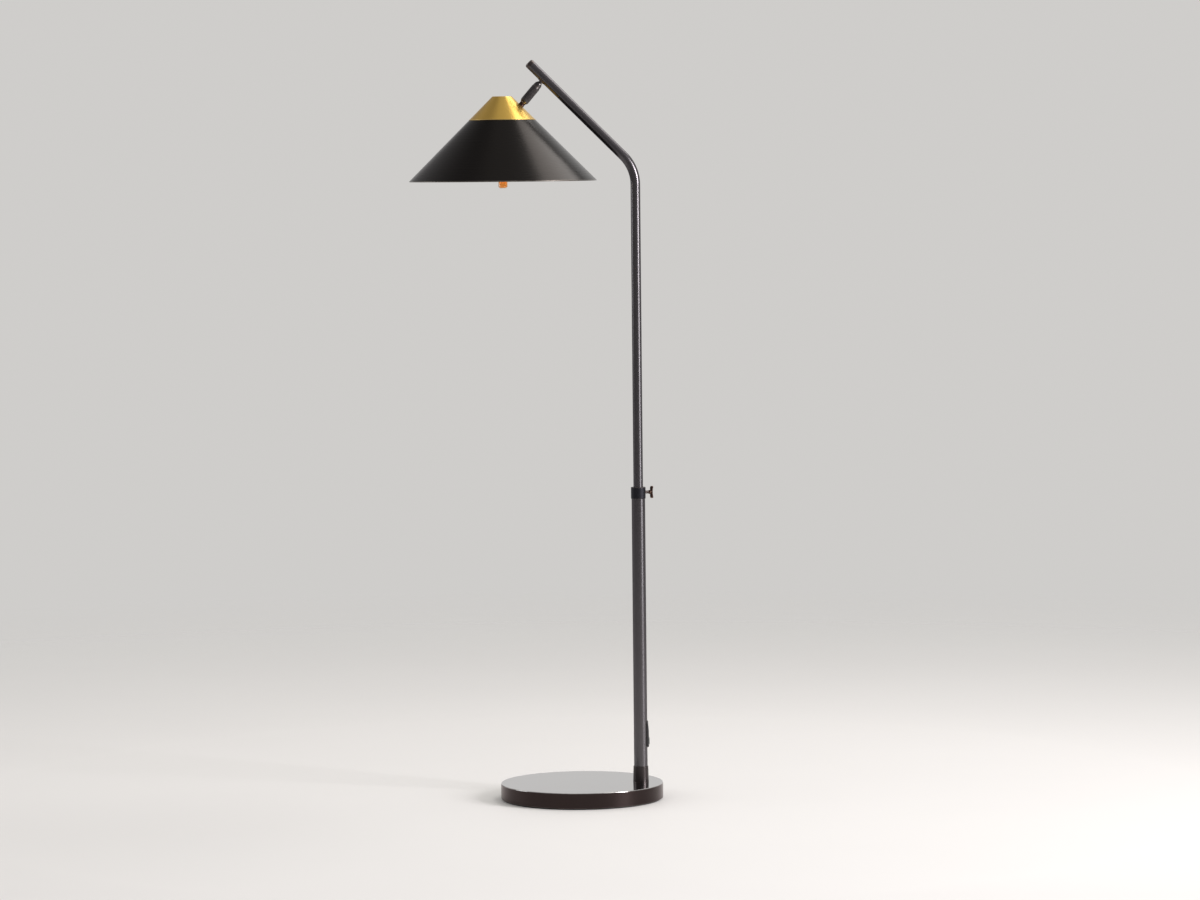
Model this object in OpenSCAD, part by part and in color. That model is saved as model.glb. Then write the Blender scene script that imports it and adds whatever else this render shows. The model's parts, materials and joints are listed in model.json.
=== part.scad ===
// Adjustable arm floor lamp, in millimetres.
// The origin is on the floor at the centre of the round base, +Z is up, the pole stands
// off-centre towards +X and the arm reaches back over the base towards -X.

/* [Base] */
// Diameter of the round base
base_d = 305; // [260:1:400]
// Height of the base from the floor to its top
base_h = 31; // [28:0.5:45]
// Sheet thickness of the spun base cover
cover_t = 1.5; // [1:0.1:2.5]
// Chamfer round the cover's top edge
cover_chamfer = 1; // [0.4:0.1:2]
// Thickness of the floor pad
pad_t = 2.5; // [1.5:0.1:4]
// How far the floor pad is set in from the edge of the base
pad_inset = 4; // [2:0.5:12]
// Thickness of the closing plate under the base
plate_t = 2; // [1.5:0.1:3]
// Gap between the weight and the wall of the cover
weight_gap = 6; // [4:0.5:12]
// Thickness of the weight's middle
weight_web = 12.5; // [8:0.5:13]
// Width of the weight's heavy ring
weight_ring_w = 25; // [22:1:60]
// Bore of the cord inlet grommet
inlet_d = 6.4; // [5:0.1:8]

/* [Pole] */
// Distance from the edge of the base to the pole's axis
pole_inset = 41.5; // [34:0.5:90]
// Outer diameter of the lower tube
lower_d = 25.4; // [22:0.1:32]
// Length of the lower tube above the base
lower_l = 539; // [420:1:700]
// Wall of the lower tube
lower_wall = 1.2; // [1:0.1:2]
// Height of the tapered sleeve at the pole's foot
sleeve_h = 30; // [15:1:60]
// How much wider than the tube the sleeve is at its top
sleeve_top_step = 2.6; // [1.6:0.1:6]
// How much wider than the tube the sleeve is at its foot
sleeve_foot_step = 4.2; // [2:0.1:10]

/* [Lock collar] */
// How much wider than the lower tube the collar is
collar_step = 2.1; // [1.6:0.1:6]
// Height of the lock collar
collar_h = 22; // [18:0.5:40]
// How far the collar's skirt goes down over the lower tube
collar_lap = 5; // [3:0.5:6]
// Thread diameter of the thumbscrew
screw_d = 6; // [5:0.5:7]
// Length of thumbscrew that shows between the collar and its wing
screw_reach = 9.5; // [7:0.5:20]
// Height of the thumbscrew's wing
wing_h = 23; // [16:1:34]

/* [Upper tube] */
// Outer diameter of the upper tube
upper_d = 18; // [15:0.5:19]
// Wall of the upper tube
upper_wall = 1.2; // [0.8:0.1:1.4]
// Length of upper tube that stays inside the lower one
insert_l = 194; // [120:1:200]
// Length of straight upper tube between the lock collar and the elbow
elbow_rise = 566.5; // [320:0.5:770]
// Bend radius of the elbow, on the tube's centre line
bend_r = 76; // [45:1:120]
// Lean of the arm from upright, in degrees
arm_lean = 45; // [35:1:55]
// Length of the arm beyond the elbow
arm_l = 247.5; // [200:0.5:390]
// Distance from the arm's end back to the head joint
joint_setback = 42; // [25:1:80]

/* [Head joint] */
// Diameter of the ball
ball_d = 12; // [10:0.5:14]
// Distance from the arm's centre line to the ball's centre
ball_drop = 16; // [15:0.5:22]
// Diameter of the reeded barrel
barrel_d = 16; // [15:0.5:20]
// Length of the reeded barrel
barrel_l = 39.2; // [30:0.1:60]
// Diameter of the neck between the barrel and the cap
neck_d = 11; // [10:0.5:14]
// Length of neck that shows between the barrel and the cap
neck_l = 6.4; // [4:0.1:20]
// Angle of the barrel away from square to the arm, in degrees
head_pitch = 4.5; // [0:0.5:8]

/* [Shade and cap] */
// Diameter of the shade at its rim
shade_d = 350; // [260:1:420]
// Diameter of the shade's top, where the cap sits
shade_top_d = 124; // [110:1:150]
// Slope of the shade and cap below level, in degrees
cone_slope = 45; // [40:1:50]
// Sheet thickness of the shade
shade_t = 0.8; // [0.6:0.1:1.5]
// Radius of the wired bead round the rim
bead_r = 0.9; // [0.8:0.1:1.6]
// Height of the cap above the shade
cap_h = 44; // [38:1:46]
// Wall of the cap
cap_t = 1.2; // [1:0.1:2]
// Rounding of the cap's top edge
cap_round = 3; // [2:0.5:5]
// Height of the bright lip round the cap's foot
cap_lip_h = 1.2; // [0.8:0.1:2]
// Height above the shade at which the neck meets the cap
neck_seat_h = 26.8; // [22:0.1:30]

/* [Lamp holder and bulb] */
// Outer diameter of the lamp holder
holder_d = 37; // [34:0.5:42]
// Height of the lamp holder
holder_h = 46; // [42:1:55]
// Diameter of the screw thread in the lamp holder
thread_d = 27; // [26.5:0.1:27.5]
// Diameter of the tubular bulb
bulb_d = 17; // [16:0.5:24]
// Distance from the shade's top down to the bulb's tip
bulb_reach = 127; // [110:1:160]

/* [Dimmer] */
// Height of the lower end of the dimmer plate above the floor
dimmer_z = 96; // [80:1:300]
// Length of the dimmer plate
dimmer_l = 51; // [46:1:70]
// Width of the dimmer plate
dimmer_w = 13; // [11:0.5:15]
// How far the dimmer plate stands off the tube
dimmer_t = 3; // [2.4:0.1:5]
// Travel of the dimmer's slider
slider_travel = 16; // [10:1:18]

/* [Clearances] */
// Radial clearance of a running fit
run_gap = 0.05; // [0.02:0.01:0.1]
// Clearance between pieces that are pushed or screwed together
fit_gap = 0.1; // [0.05:0.01:0.2]

/* [Hidden] */
$fn = 96;
eps = 0.5;

// Base levels, from the floor up
plate_z = pad_t;
weight_z = plate_z + plate_t;
cover_under = base_h - cover_t;
web_z = cover_under - weight_web;
cover_ri = base_d / 2 - cover_t;
weight_r = cover_ri - weight_gap;
recess_r = weight_r - weight_ring_w;
pole_x = base_d / 2 - pole_inset;
base_screw_r = weight_r - 7;
base_screw_d = 4;
inlet_z = weight_z + 5.9;
inlet_wall = 1;
inlet_flange = 1.3;

// Pole foot
nipple_d = 10;
nipple_bore = 7;
plug_h = 16;
washer_d = 26;
washer_t = 2;
nut_af = 17;
nut_h = 6;
pocket_r = 16;

// Pole levels
lower_ri = lower_d / 2 - lower_wall;
lower_top = base_h + lower_l;
collar_z = lower_top - collar_lap;
collar_top = collar_z + collar_h;
collar_d = lower_d + collar_step;
screw_z = lower_top + 7.5;
bush_flange_t = 1.5;
bush_r = upper_d / 2 + 1.3;
collar_lip_t = 2;

// Thumbscrew, measured outwards from the pole's axis
pad_end = upper_d / 2 + 2.3;
screw_out = collar_d / 2 + screw_reach;
hub_l = 4;
wing_foot = screw_out - 0.2;

// Upper tube
upper_ri = upper_d / 2 - upper_wall;
upper_foot = collar_top - insert_l;
bend_foot = collar_top + elbow_rise;
end_round = 0.21 * upper_d;
end_cap_t = 2 * end_round;
guide_l = 25;
ring_t = 1.5;

// Head joint: the ball's centre, then distances from it along the barrel's axis
joint_l = arm_l - joint_setback;
ball_at = [
    pole_x - bend_r + (bend_r - ball_drop) * cos(arm_lean) - joint_l * sin(arm_lean),
    0,
    bend_foot + (bend_r - ball_drop) * sin(arm_lean) + joint_l * cos(arm_lean)
];
ball_r = ball_d / 2;
cup_ri = ball_r + run_gap;
cup_top = -1.5;
barrel_at = 5.1;
barrel_end = barrel_at + barrel_l;
cup_thread_r = cup_ri + 0.9;
cup_foot = 17;
seat_top = 2.6;
seat_end = 9.5;
spring_end = 16.4;
end_wall = 5;
spindle_r = 3.9;
stem_r = 3.6;
stem_bore = 2.2;
boss_r = 5.5;
boss_end = upper_d / 2 + 1;
boss_inner = upper_ri - 1.9;
boss_skirt = 1.3;
// The widest ring that sits in the tube's bore against the boss
stem_washer_r = sqrt(pow(upper_ri, 2) - pow(boss_inner - fit_gap, 2)) - fit_gap;
stem_washer_t = 0.6;
stem_nut_h = 2.3;
pitch_down = arm_lean + head_pitch;
neck_end = barrel_end + neck_l;

// Head: its own origin is on the shade's axis at the shade's top
top_r = shade_top_d / 2;
function cone_r(h) = top_r - h / tan(cone_slope);
head_at = [
    ball_at[0] - neck_end * cos(pitch_down) - cone_r(neck_seat_h),
    0,
    ball_at[2] - neck_end * sin(pitch_down) - neck_seat_h
];
flange_r = 42;
bead_proud = 0.1;
carrier_t = 1.5;
carrier_r = cone_r(carrier_t) - cap_t / sin(cone_slope) - 0.5;
lug_at = 48;
lug_r = 4;
shade_screw_d = 3.5;
holder_top = -1.5;
shell_t = 0.5;
shell_top = -22;
holder_end = holder_top - holder_h;
bulb_base_top = -25;
bulb_base_end = holder_end - 2;
glass_t = 1;
bulb_round = 4;
filament_at = 4.9;
filament_z = bulb_d / 2 - bulb_reach;
lead_d = 1.9;

// Dimmer levels
slot_w = 2.8;
stem_l = 4;
slider_z = dimmer_z + 12;
slot_z0 = slider_z - stem_l / 2 - 0.5;
slot_z1 = slider_z + slider_travel + stem_l / 2 + 0.5;
plate_face = lower_d / 2 + dimmer_t;
thumb_gap = 0.1;
thumb_t = 0.9;
dimmer_screw_z = [dimmer_z + 4.5, dimmer_z + dimmer_l - 4.5];

// Colours of the finishes
bronze = [0.17, 0.15, 0.14];
brass = [0.80, 0.62, 0.26];
steel = [0.62, 0.63, 0.64];
black = [0.07, 0.07, 0.07];
nylon = [0.85, 0.84, 0.80];

// ---- Placing ----

module at_pole(z = 0) translate([pole_x, 0, z]) children();

// Along +X from the pole's axis, at height z
module across_pole(z) at_pole(z) rotate([0, 90, 0]) children();

// The centre that the elbow bends round
module at_bend() translate([pole_x - bend_r, 0, bend_foot]) children();

// Up the arm from the elbow's upper end
module at_arm(up = 0) at_bend() rotate([0, -arm_lean, 0]) translate([bend_r, 0, up]) children();

// From the ball's centre, square away from the arm
module at_boss() translate(ball_at) rotate([0, 270 - arm_lean, 0]) children();

// From the ball's centre, along the barrel towards the cap
module at_barrel(s = 0) translate(ball_at) rotate([0, 270 - pitch_down, 0]) translate([0, 0, s]) children();

module at_head() translate(head_at) children();

// Like pieces spaced round an axis at radius r
module round_axis(count, r, first = 0)
    for (i = [0 : count - 1]) rotate([0, 0, first + i * 360 / count]) translate([r, 0, 0]) children();

// ---- Shapes that repeat ----

module tube(d, bore, h) difference() {
    cylinder(d = d, h = h);
    translate([0, 0, -eps]) cylinder(d = bore, h = h + 2 * eps);
}

module hex_nut(af, bore, h) difference() {
    cylinder(d = af / cos(30), h = h, $fn = 6);
    translate([0, 0, -eps]) cylinder(d = bore, h = h + 2 * eps);
}

// A pan head screw with its head's underside at 0 and its shank along +Z
module pan_screw(d, l, head_d, head_h) difference() {
    union() {
        translate([0, 0, -head_h]) cylinder(d = head_d, h = head_h);
        cylinder(d = d, h = l);
    }
    translate([-head_d, -0.4, -head_h - eps]) cube([2 * head_d, 0.8, head_h * 0.5 + eps]);
}

// ---- Base ----

module base_pad() color(black) cylinder(d = base_d - 2 * pad_inset, h = pad_t);

module base_plate() color(steel) difference() {
    translate([0, 0, plate_z]) cylinder(r = cover_ri - 0.2, h = plate_t);
    for (a = [30, 150, 270]) rotate([0, 0, a]) translate([base_screw_r, 0, plate_z]) {
        translate([0, 0, -eps]) cylinder(d = base_screw_d + 0.4, h = plate_t + 2 * eps);
        translate([0, 0, -0.01]) cylinder(r1 = base_screw_d, r2 = base_screw_d / 2, h = plate_t);
    }
}

module base_plate_screws() color(steel) for (a = [30, 150, 270]) rotate([0, 0, a])
    translate([base_screw_r, 0, plate_z]) {
        cylinder(r1 = base_screw_d - 0.1, r2 = base_screw_d / 2 - 0.1, h = plate_t);
        translate([0, 0, plate_t / 2]) cylinder(d = base_screw_d - 0.2, h = 10);
    }

module base_weight() color([0.2, 0.2, 0.21]) difference() {
    translate([0, 0, weight_z]) cylinder(r = weight_r, h = cover_under - weight_z);
    // Recess under the middle
    translate([0, 0, weight_z - eps]) cylinder(r = recess_r, h = web_z - weight_z + eps);
    // Pocket for the nut, and the hole for the hollow stud
    at_pole(weight_z - eps) cylinder(r = pocket_r, h = web_z - weight_z + eps);
    at_pole(weight_z) cylinder(d = nipple_d + 2 * fit_gap, h = base_h);
    // Way in for the cord
    translate([-6, 0, weight_z - eps]) cube([12, base_d, 10]);
    for (a = [30, 150, 270]) rotate([0, 0, a]) translate([base_screw_r, 0, weight_z - eps])
        cylinder(d = base_screw_d, h = 12);
}

module base_cover() color(bronze) difference() {
    rotate_extrude($fn = 180) polygon([
        [0, base_h],
        [base_d / 2 - cover_chamfer, base_h],
        [base_d / 2, base_h - cover_chamfer],
        [base_d / 2, plate_z],
        [cover_ri, plate_z],
        [cover_ri, cover_under],
        [0, cover_under]
    ]);
    at_pole(0) cylinder(d = nipple_d + 2 * fit_gap, h = base_h + eps);
    translate([0, 0, inlet_z]) rotate([-90, 0, 0]) cylinder(d = inlet_d + 2 * inlet_wall + 2 * fit_gap, h = base_d);
}

module inlet_grommet() color(black) translate([0, 0, inlet_z]) rotate([-90, 0, 0]) difference() {
    union() {
        translate([0, 0, cover_ri - 2]) cylinder(d = inlet_d + 2 * inlet_wall, h = cover_t + 3);
        translate([0, 0, cover_ri - 0.2 - inlet_flange]) cylinder(d = inlet_d + 4.2, h = inlet_flange);
        translate([0, 0, base_d / 2]) cylinder(d = inlet_d + 4.2, h = inlet_flange);
    }
    translate([0, 0, cover_ri - 10]) cylinder(d = inlet_d, h = 20);
}

module base_nipple() color(steel) at_pole(web_z - washer_t - nut_h - 2)
    tube(nipple_d, nipple_bore, washer_t + nut_h + 2 + base_h - web_z + plug_h - 2);

module base_washer() color(steel) at_pole(web_z - washer_t) tube(washer_d, nipple_d + 2 * fit_gap, washer_t);

module base_nut() color(steel) at_pole(web_z - washer_t - nut_h) hex_nut(nut_af, nipple_d + 2 * run_gap, nut_h);

module tube_foot_plug() color(steel) at_pole(base_h)
    tube(2 * (lower_ri - fit_gap / 2), nipple_d + 2 * run_gap, plug_h);

// ---- Lower pole ----

module pole_sleeve() color(bronze) at_pole(base_h) difference() {
    union() {
        cylinder(d1 = lower_d + sleeve_foot_step, d2 = lower_d + sleeve_top_step, h = sleeve_h - 0.7);
        translate([0, 0, sleeve_h - 0.7])
            cylinder(d1 = lower_d + sleeve_top_step, d2 = lower_d + sleeve_top_step - 1.2, h = 0.7);
    }
    translate([0, 0, -eps]) cylinder(d = lower_d + 2 * fit_gap, h = sleeve_h + 2 * eps);
}

module lower_tube() color(bronze) difference() {
    at_pole(base_h) tube(lower_d, 2 * lower_ri, lower_l);
    // Slot and screw holes behind the dimmer plate
    at_pole(slot_z0 - 1) translate([0, -3, 0]) cube([lower_d, 6, slot_z1 - slot_z0 + 2]);
    for (z = dimmer_screw_z) across_pole(z) cylinder(d = 2.8, h = lower_d);
}

// ---- Dimmer ----

module dimmer_module() color(black) difference() {
    at_pole(dimmer_z - 1) translate([-6, -6.2, 0]) cube([lower_ri - 2.4 + 6, 12.4, dimmer_l + 2]);
    at_pole(slot_z0) translate([3.5, -slot_w / 2, 0]) cube([lower_d, slot_w, slot_z1 - slot_z0]);
    for (z = dimmer_screw_z) across_pole(z) translate([0, 0, 2]) cylinder(d = 2.5, h = lower_d);
}

module dimmer_bezel() color(black) difference() {
    intersection() {
        // Round-ended outline
        at_pole(dimmer_z) rotate([90, 0, 90]) linear_extrude(height = lower_d) {
            translate([-dimmer_w / 2, dimmer_w / 2]) square([dimmer_w, dimmer_l - dimmer_w]);
            translate([0, dimmer_w / 2]) circle(d = dimmer_w);
            translate([0, dimmer_l - dimmer_w / 2]) circle(d = dimmer_w);
        }
        // Side outline, thinning towards its upper end
        at_pole(dimmer_z) rotate([90, 0, 0]) translate([0, 0, -dimmer_w]) linear_extrude(height = 2 * dimmer_w)
            polygon([
                [0, 0],
                [plate_face - 0.8, 0],
                [plate_face, 1],
                [plate_face, dimmer_l * 0.62],
                [plate_face - dimmer_t * 0.55, dimmer_l],
                [0, dimmer_l]
            ]);
    }
    at_pole(0) cylinder(d = lower_d + 2 * run_gap, h = lower_top);
    at_pole(slot_z0) translate([0, -slot_w / 2, 0]) cube([2 * lower_d, slot_w, slot_z1 - slot_z0]);
    for (z = dimmer_screw_z) across_pole(z) {
        cylinder(d = 2.8, h = 2 * lower_d);
        translate([0, 0, lower_d / 2 + 0.9]) cylinder(d = 4.8, h = lower_d);
    }
}

module dimmer_screws() color(steel) for (z = dimmer_screw_z) across_pole(z)
    translate([0, 0, lower_d / 2 + 0.9]) rotate([180, 0, 0]) pan_screw(2.4, 8, 4.4, 0.8);

module dimmer_slider() color([0.12, 0.12, 0.12]) difference() {
    union() {
        at_pole(slider_z - stem_l / 2) translate([6, -slot_w / 2 + 0.3, 0])
            cube([plate_face + thumb_gap + thumb_t / 2 - 6, slot_w - 0.6, stem_l]);
        at_pole(slider_z - 6) translate([plate_face + thumb_gap, -3, 0]) cube([thumb_t, 6, 12]);
    }
    // Finger grooves
    for (i = [-3 : 3]) at_pole(slider_z + i * 1.5) translate([plate_face + thumb_gap + thumb_t + 0.2, -4, 0])
        rotate([-90, 0, 0]) cylinder(r = 0.45, h = 8, $fn = 24);
}

// ---- Lock collar ----

module lock_collar() color(bronze) difference() {
    at_pole(collar_z) {
        cylinder(d1 = collar_d - 1.2, d2 = collar_d, h = 1);
        translate([0, 0, 1]) cylinder(d = collar_d, h = collar_h - 1.6);
        translate([0, 0, collar_h - 0.6]) cylinder(d1 = collar_d, d2 = collar_d - 1, h = 0.6);
    }
    // Skirt bore over the tube, bush bore above it and the lip at the top
    at_pole(collar_z - eps) cylinder(d = lower_d + 2 * run_gap, h = collar_lap + bush_flange_t + fit_gap + eps);
    at_pole(lower_top) cylinder(r = bush_r + fit_gap, h = collar_top - collar_lip_t - lower_top);
    at_pole(lower_top) cylinder(d = upper_d + 0.8, h = collar_h);
    across_pole(screw_z) cylinder(d = screw_d + 2 * run_gap, h = collar_d);
}

module collar_bush() color(nylon) difference() {
    at_pole(lower_top) {
        cylinder(d = lower_d - 0.4, h = bush_flange_t);
        cylinder(r = bush_r, h = collar_top - collar_lip_t - lower_top - fit_gap);
    }
    at_pole(lower_top - eps) cylinder(d = upper_d + 2 * run_gap, h = collar_h);
    across_pole(screw_z) cylinder(d = screw_d - 1 + 2 * run_gap, h = collar_d);
}

module clamp_pad() color(brass) difference() {
    across_pole(screw_z) cylinder(d = screw_d - 1, h = pad_end);
    at_pole(collar_z) cylinder(d = upper_d + 2 * run_gap, h = collar_h);
}

module thumbscrew_stud() color(bronze) across_pole(screw_z) {
    translate([0, 0, pad_end + run_gap]) cylinder(d = screw_d, h = screw_out - pad_end + 1.5);
}

module thumbscrew_wing() color(bronze) across_pole(screw_z) difference() {
    union() {
        translate([0, 0, screw_out - hub_l]) cylinder(d1 = screw_d + 0.8, d2 = screw_d + 3, h = hub_l);
        // Two flared wings joined at the hub, hollowed on the outer face
        for (side = [-1, 1]) hull() {
            translate([0, 0, wing_foot + 2]) sphere(d = 5, $fn = 28);
            translate([side * (wing_h / 2 - 2.8), 0, wing_foot + 2.3]) sphere(d = 5.6, $fn = 28);
            translate([side * (wing_h / 2 - 2.2), 0, wing_foot + 3.6]) sphere(d = 4.4, $fn = 28);
        }
    }
    translate([0, 0, screw_out - hub_l - eps]) cylinder(d = screw_d + 2 * run_gap, h = hub_l + eps + 1.6);
}

// ---- Upper tube ----

module guide_bush() color(nylon) at_pole(upper_foot + fit_gap)
    tube(2 * (lower_ri - run_gap), upper_d + 2 * run_gap, guide_l);

module foot_ring() color(nylon) at_pole(upper_foot) difference() {
    union() {
        translate([0, 0, -3]) cylinder(r = lower_ri - 0.9, h = 3);
        cylinder(r = upper_ri - fit_gap / 2, h = 10);
    }
    translate([0, 0, -4]) cylinder(r = upper_ri - 2.2, h = 20);
}

module stop_ring() color(steel) at_pole(upper_foot + guide_l + 2 * fit_gap)
    tube(2 * (lower_ri - 0.9), upper_d, ring_t);

// The bent rod that both the outside and the bore of the upper tube are made from
module bent_rod(r, foot, tip) {
    at_pole(upper_foot - foot) cylinder(r = r, h = bend_foot - upper_foot + foot);
    // The elbow, swept from the arm's end down to the pole
    at_bend() rotate([0, -arm_lean, 0]) rotate([-90, 0, 0])
        rotate_extrude(angle = arm_lean) translate([bend_r, 0]) circle(r = r);
    at_arm() cylinder(r = r, h = arm_l - end_cap_t + tip);
}

module upper_tube() color(bronze) difference() {
    bent_rod(upper_d / 2, 0, 0);
    bent_rod(upper_ri, 1, 1);
    at_boss() translate([0, 0, -ball_drop]) cylinder(r = boss_r + fit_gap / 2, h = upper_d);
}

module arm_end_cap() color(bronze) at_arm(arm_l - end_cap_t) {
    rotate_extrude() {
        square([upper_d / 2, end_cap_t - end_round]);
        square([upper_d / 2 - end_round, end_cap_t]);
        translate([upper_d / 2 - end_round, end_cap_t - end_round]) circle(r = end_round, $fn = 48);
    }
    translate([0, 0, -8]) cylinder(r = upper_ri - fit_gap / 2, h = 8.5);
}

// ---- Head joint ----

module joint_boss() color(bronze) difference() {
    union() {
        at_boss() translate([0, 0, boss_inner - ball_drop]) cylinder(r = boss_r, h = boss_end - boss_inner);
        difference() {
            at_boss() {
                translate([0, 0, boss_end - 7 - ball_drop]) cylinder(r = boss_r + boss_skirt, h = 5.6);
                translate([0, 0, boss_end - 1.4 - ball_drop])
                    cylinder(r1 = boss_r + boss_skirt, r2 = boss_r, h = 1.4);
            }
            at_arm(joint_l - 20) cylinder(d = upper_d + run_gap, h = 40);
        }
    }
    at_boss() translate([0, 0, -ball_drop]) cylinder(r = stem_r + run_gap, h = ball_drop);
}

module stem_washer() color(steel) at_boss()
    translate([0, 0, boss_inner - ball_drop - fit_gap - stem_washer_t])
        tube(2 * stem_washer_r, 2 * (stem_r + run_gap), stem_washer_t);

module stem_nut() color(steel) at_boss()
    translate([0, 0, boss_inner - ball_drop - 2 * fit_gap - stem_washer_t - stem_nut_h])
        tube(2 * stem_washer_r - 0.4, 2 * (stem_r + run_gap), stem_nut_h);

module swivel_ball() color(bronze) at_boss() difference() {
    union() {
        sphere(r = ball_r);
        translate([0, 0, boss_inner - ball_drop - 3.6]) cylinder(r = stem_r, h = ball_drop - boss_inner + 3.6);
    }
    translate([0, 0, -ball_drop]) cylinder(r = stem_bore, h = 2 * ball_drop);
}

module swivel_cup() color(bronze) at_barrel() difference() {
    union() {
        translate([0, 0, cup_top]) cylinder(r1 = cup_ri + 0.5, r2 = cup_ri + 1.5, h = barrel_at - fit_gap - cup_top);
        translate([0, 0, cup_top + 1]) cylinder(r = cup_thread_r - run_gap, h = cup_foot - cup_top - 1);
    }
    sphere(r = cup_ri);
    cylinder(r = cup_ri, h = cup_foot + eps);
}

module reeded_barrel() color(bronze) at_barrel() difference() {
    union() {
        translate([0, 0, barrel_at]) cylinder(r1 = barrel_d / 2 - 0.8, r2 = barrel_d / 2, h = 3);
        translate([0, 0, barrel_at + 3]) cylinder(d = barrel_d, h = barrel_l - 7);
        translate([0, 0, barrel_end - 4]) cylinder(r1 = barrel_d / 2, r2 = neck_d / 2 + 0.5, h = 4);
    }
    // Thread for the cup, bore for the springs and the hole for the neck's spindle
    translate([0, 0, barrel_at - eps]) cylinder(r = cup_thread_r, h = cup_foot - barrel_at + eps + fit_gap);
    translate([0, 0, barrel_at]) cylinder(r = cup_ri, h = barrel_l - end_wall);
    cylinder(r = spindle_r + run_gap, h = barrel_end + eps);
    // Reeds that give the fingers a grip
    translate([0, 0, barrel_at + 5]) round_axis(24, barrel_d / 2 + 0.35)
        cylinder(r = 0.7, h = barrel_l - 11, $fn = 16);
}

module ball_seat() color(nylon) at_barrel() difference() {
    translate([0, 0, seat_top]) cylinder(r = cup_ri - fit_gap, h = seat_end - seat_top);
    sphere(r = cup_ri);
    cylinder(r = stem_bore + 0.6, h = 20);
}

module disc_springs() color(steel) at_barrel(seat_end + 0.1) for (i = [0 : 3]) translate([0, 0, i * 1.7]) difference() {
    cylinder(r1 = cup_ri - 0.3, r2 = 3.4, h = 1.6);
    translate([0, 0, -0.8]) cylinder(r1 = cup_ri - 0.3, r2 = 3.4, h = 1.6);
    translate([0, 0, -eps]) cylinder(r = 3.2, h = 3);
}

module spring_sleeve() color(steel) at_barrel(spring_end + 0.1)
    tube(2 * (cup_ri - 0.2), 6.4, barrel_end - end_wall - 3.3 - spring_end);

module swivel_neck() color([0.24, 0.17, 0.13]) difference() {
    union() {
        // Head inside the barrel, spindle through its end wall, neck, and the thread through the cap
        at_barrel(barrel_end - end_wall - 3.1) cylinder(r = cup_ri - 0.3, h = 3);
        at_barrel(barrel_end - end_wall - 1) cylinder(r = spindle_r, h = end_wall + 2);
        difference() {
            at_barrel(barrel_end + fit_gap) cylinder(d = neck_d, h = neck_l + 12);
            at_head() cap_form(0, 40);
        }
        at_barrel(barrel_end + 1) cylinder(r = spindle_r, h = neck_l + 10.5);
    }
    at_barrel(barrel_end - end_wall - 5) cylinder(r = stem_bore, h = neck_l + 30);
}

// ---- Cap and shade ----

// The cap's turned outline as a solid, drawn off mm inside its outer face and open by skirt mm below
module cap_form(off, skirt) {
    zc = cap_h - cap_round;
    rc = top_r - (cap_round + zc * cos(cone_slope)) / sin(cone_slope);
    r = cap_round - off;
    rotate_extrude($fn = 144) {
        polygon([
            [0, -skirt],
            [cone_r(-skirt) - off / sin(cone_slope), -skirt],
            [rc + r * sin(cone_slope), zc + r * cos(cone_slope)],
            [rc, cap_h - off],
            [0, cap_h - off]
        ]);
        translate([rc, zc]) circle(r = r);
    }
}

module brass_cap() color(brass) difference() {
    union() {
        at_head() cap_form(0, 0);
        at_head() cylinder(r1 = top_r + 0.6, r2 = top_r + 0.6 - cap_lip_h / 2, h = cap_lip_h);
    }
    at_head() cap_form(cap_t, 1);
    at_barrel(barrel_end) cylinder(r = spindle_r + fit_gap, h = neck_l + 20);
}

// Three posts brazed inside the cap, which the shade's screws go up into
module cap_lugs() color(brass) at_head() difference() {
    intersection() {
        round_axis(3, lug_at, 60) translate([0, 0, carrier_t]) cylinder(r = lug_r, h = cap_h);
        cap_form(cap_t, 0);
    }
    round_axis(3, lug_at, 60) cylinder(d = shade_screw_d, h = 8);
}

module neck_washer() color(steel) difference() {
    intersection() {
        at_barrel(neck_end - 8) cylinder(r = 7.5, h = 8 + cap_t + 2.4);
        at_head() cap_form(cap_t, 0);
    }
    at_barrel(neck_end - 10) cylinder(r = spindle_r + fit_gap, h = 20);
}

module neck_nut() color(steel) at_barrel(neck_end + cap_t + 2.5) hex_nut(12, 2 * (spindle_r + run_gap), 3.5);

// A spun cone with an in-turned flange at the top and a wired bead round the rim
module shade() color(bronze) at_head() difference() {
    // The bead's centre lies in by edge from the sheet's outer face
    edge = bead_r - bead_proud;
    rc = shade_d / 2 - bead_r;
    zc = -((rc - top_r) * sin(cone_slope) + edge) / cos(cone_slope);
    in_r = shade_t / sin(cone_slope);
    union() {
        rotate_extrude($fn = 180) polygon([
            [flange_r, 0],
            [top_r, 0],
            [rc + edge * sin(cone_slope), zc + edge * cos(cone_slope)],
            [rc + edge * sin(cone_slope) - in_r, zc + edge * cos(cone_slope)],
            [top_r - in_r * (1 - cos(cone_slope)), -shade_t],
            [flange_r, -shade_t]
        ]);
        rotate_extrude($fn = 180) translate([rc, zc]) circle(r = bead_r, $fn = 32);
    }
    round_axis(3, lug_at, 60) translate([0, 0, -5]) cylinder(d = shade_screw_d + 2 * fit_gap, h = 10);
}

module shade_screws() color(steel) at_head() round_axis(3, lug_at, 60) translate([0, 0, -shade_t])
    pan_screw(shade_screw_d - 0.1, shade_t + 8, 6.5, 2);

module carrier_plate() color(steel) at_head() difference() {
    cylinder(r = carrier_r, h = carrier_t);
    translate([0, 0, -eps]) cylinder(d = nipple_d + 2 * fit_gap, h = 5);
    round_axis(3, lug_at, 60) translate([0, 0, -eps]) cylinder(d = shade_screw_d + 2 * fit_gap, h = 5);
}

// ---- Lamp holder ----

module socket_nipple() color(steel) at_head() translate([0, 0, holder_top - 8])
    tube(nipple_d, nipple_bore, 8 - holder_top + carrier_t + 4);

module socket_nut() color(steel) at_head() translate([0, 0, carrier_t])
    hex_nut(14, nipple_d + 2 * run_gap, 3);

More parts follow.
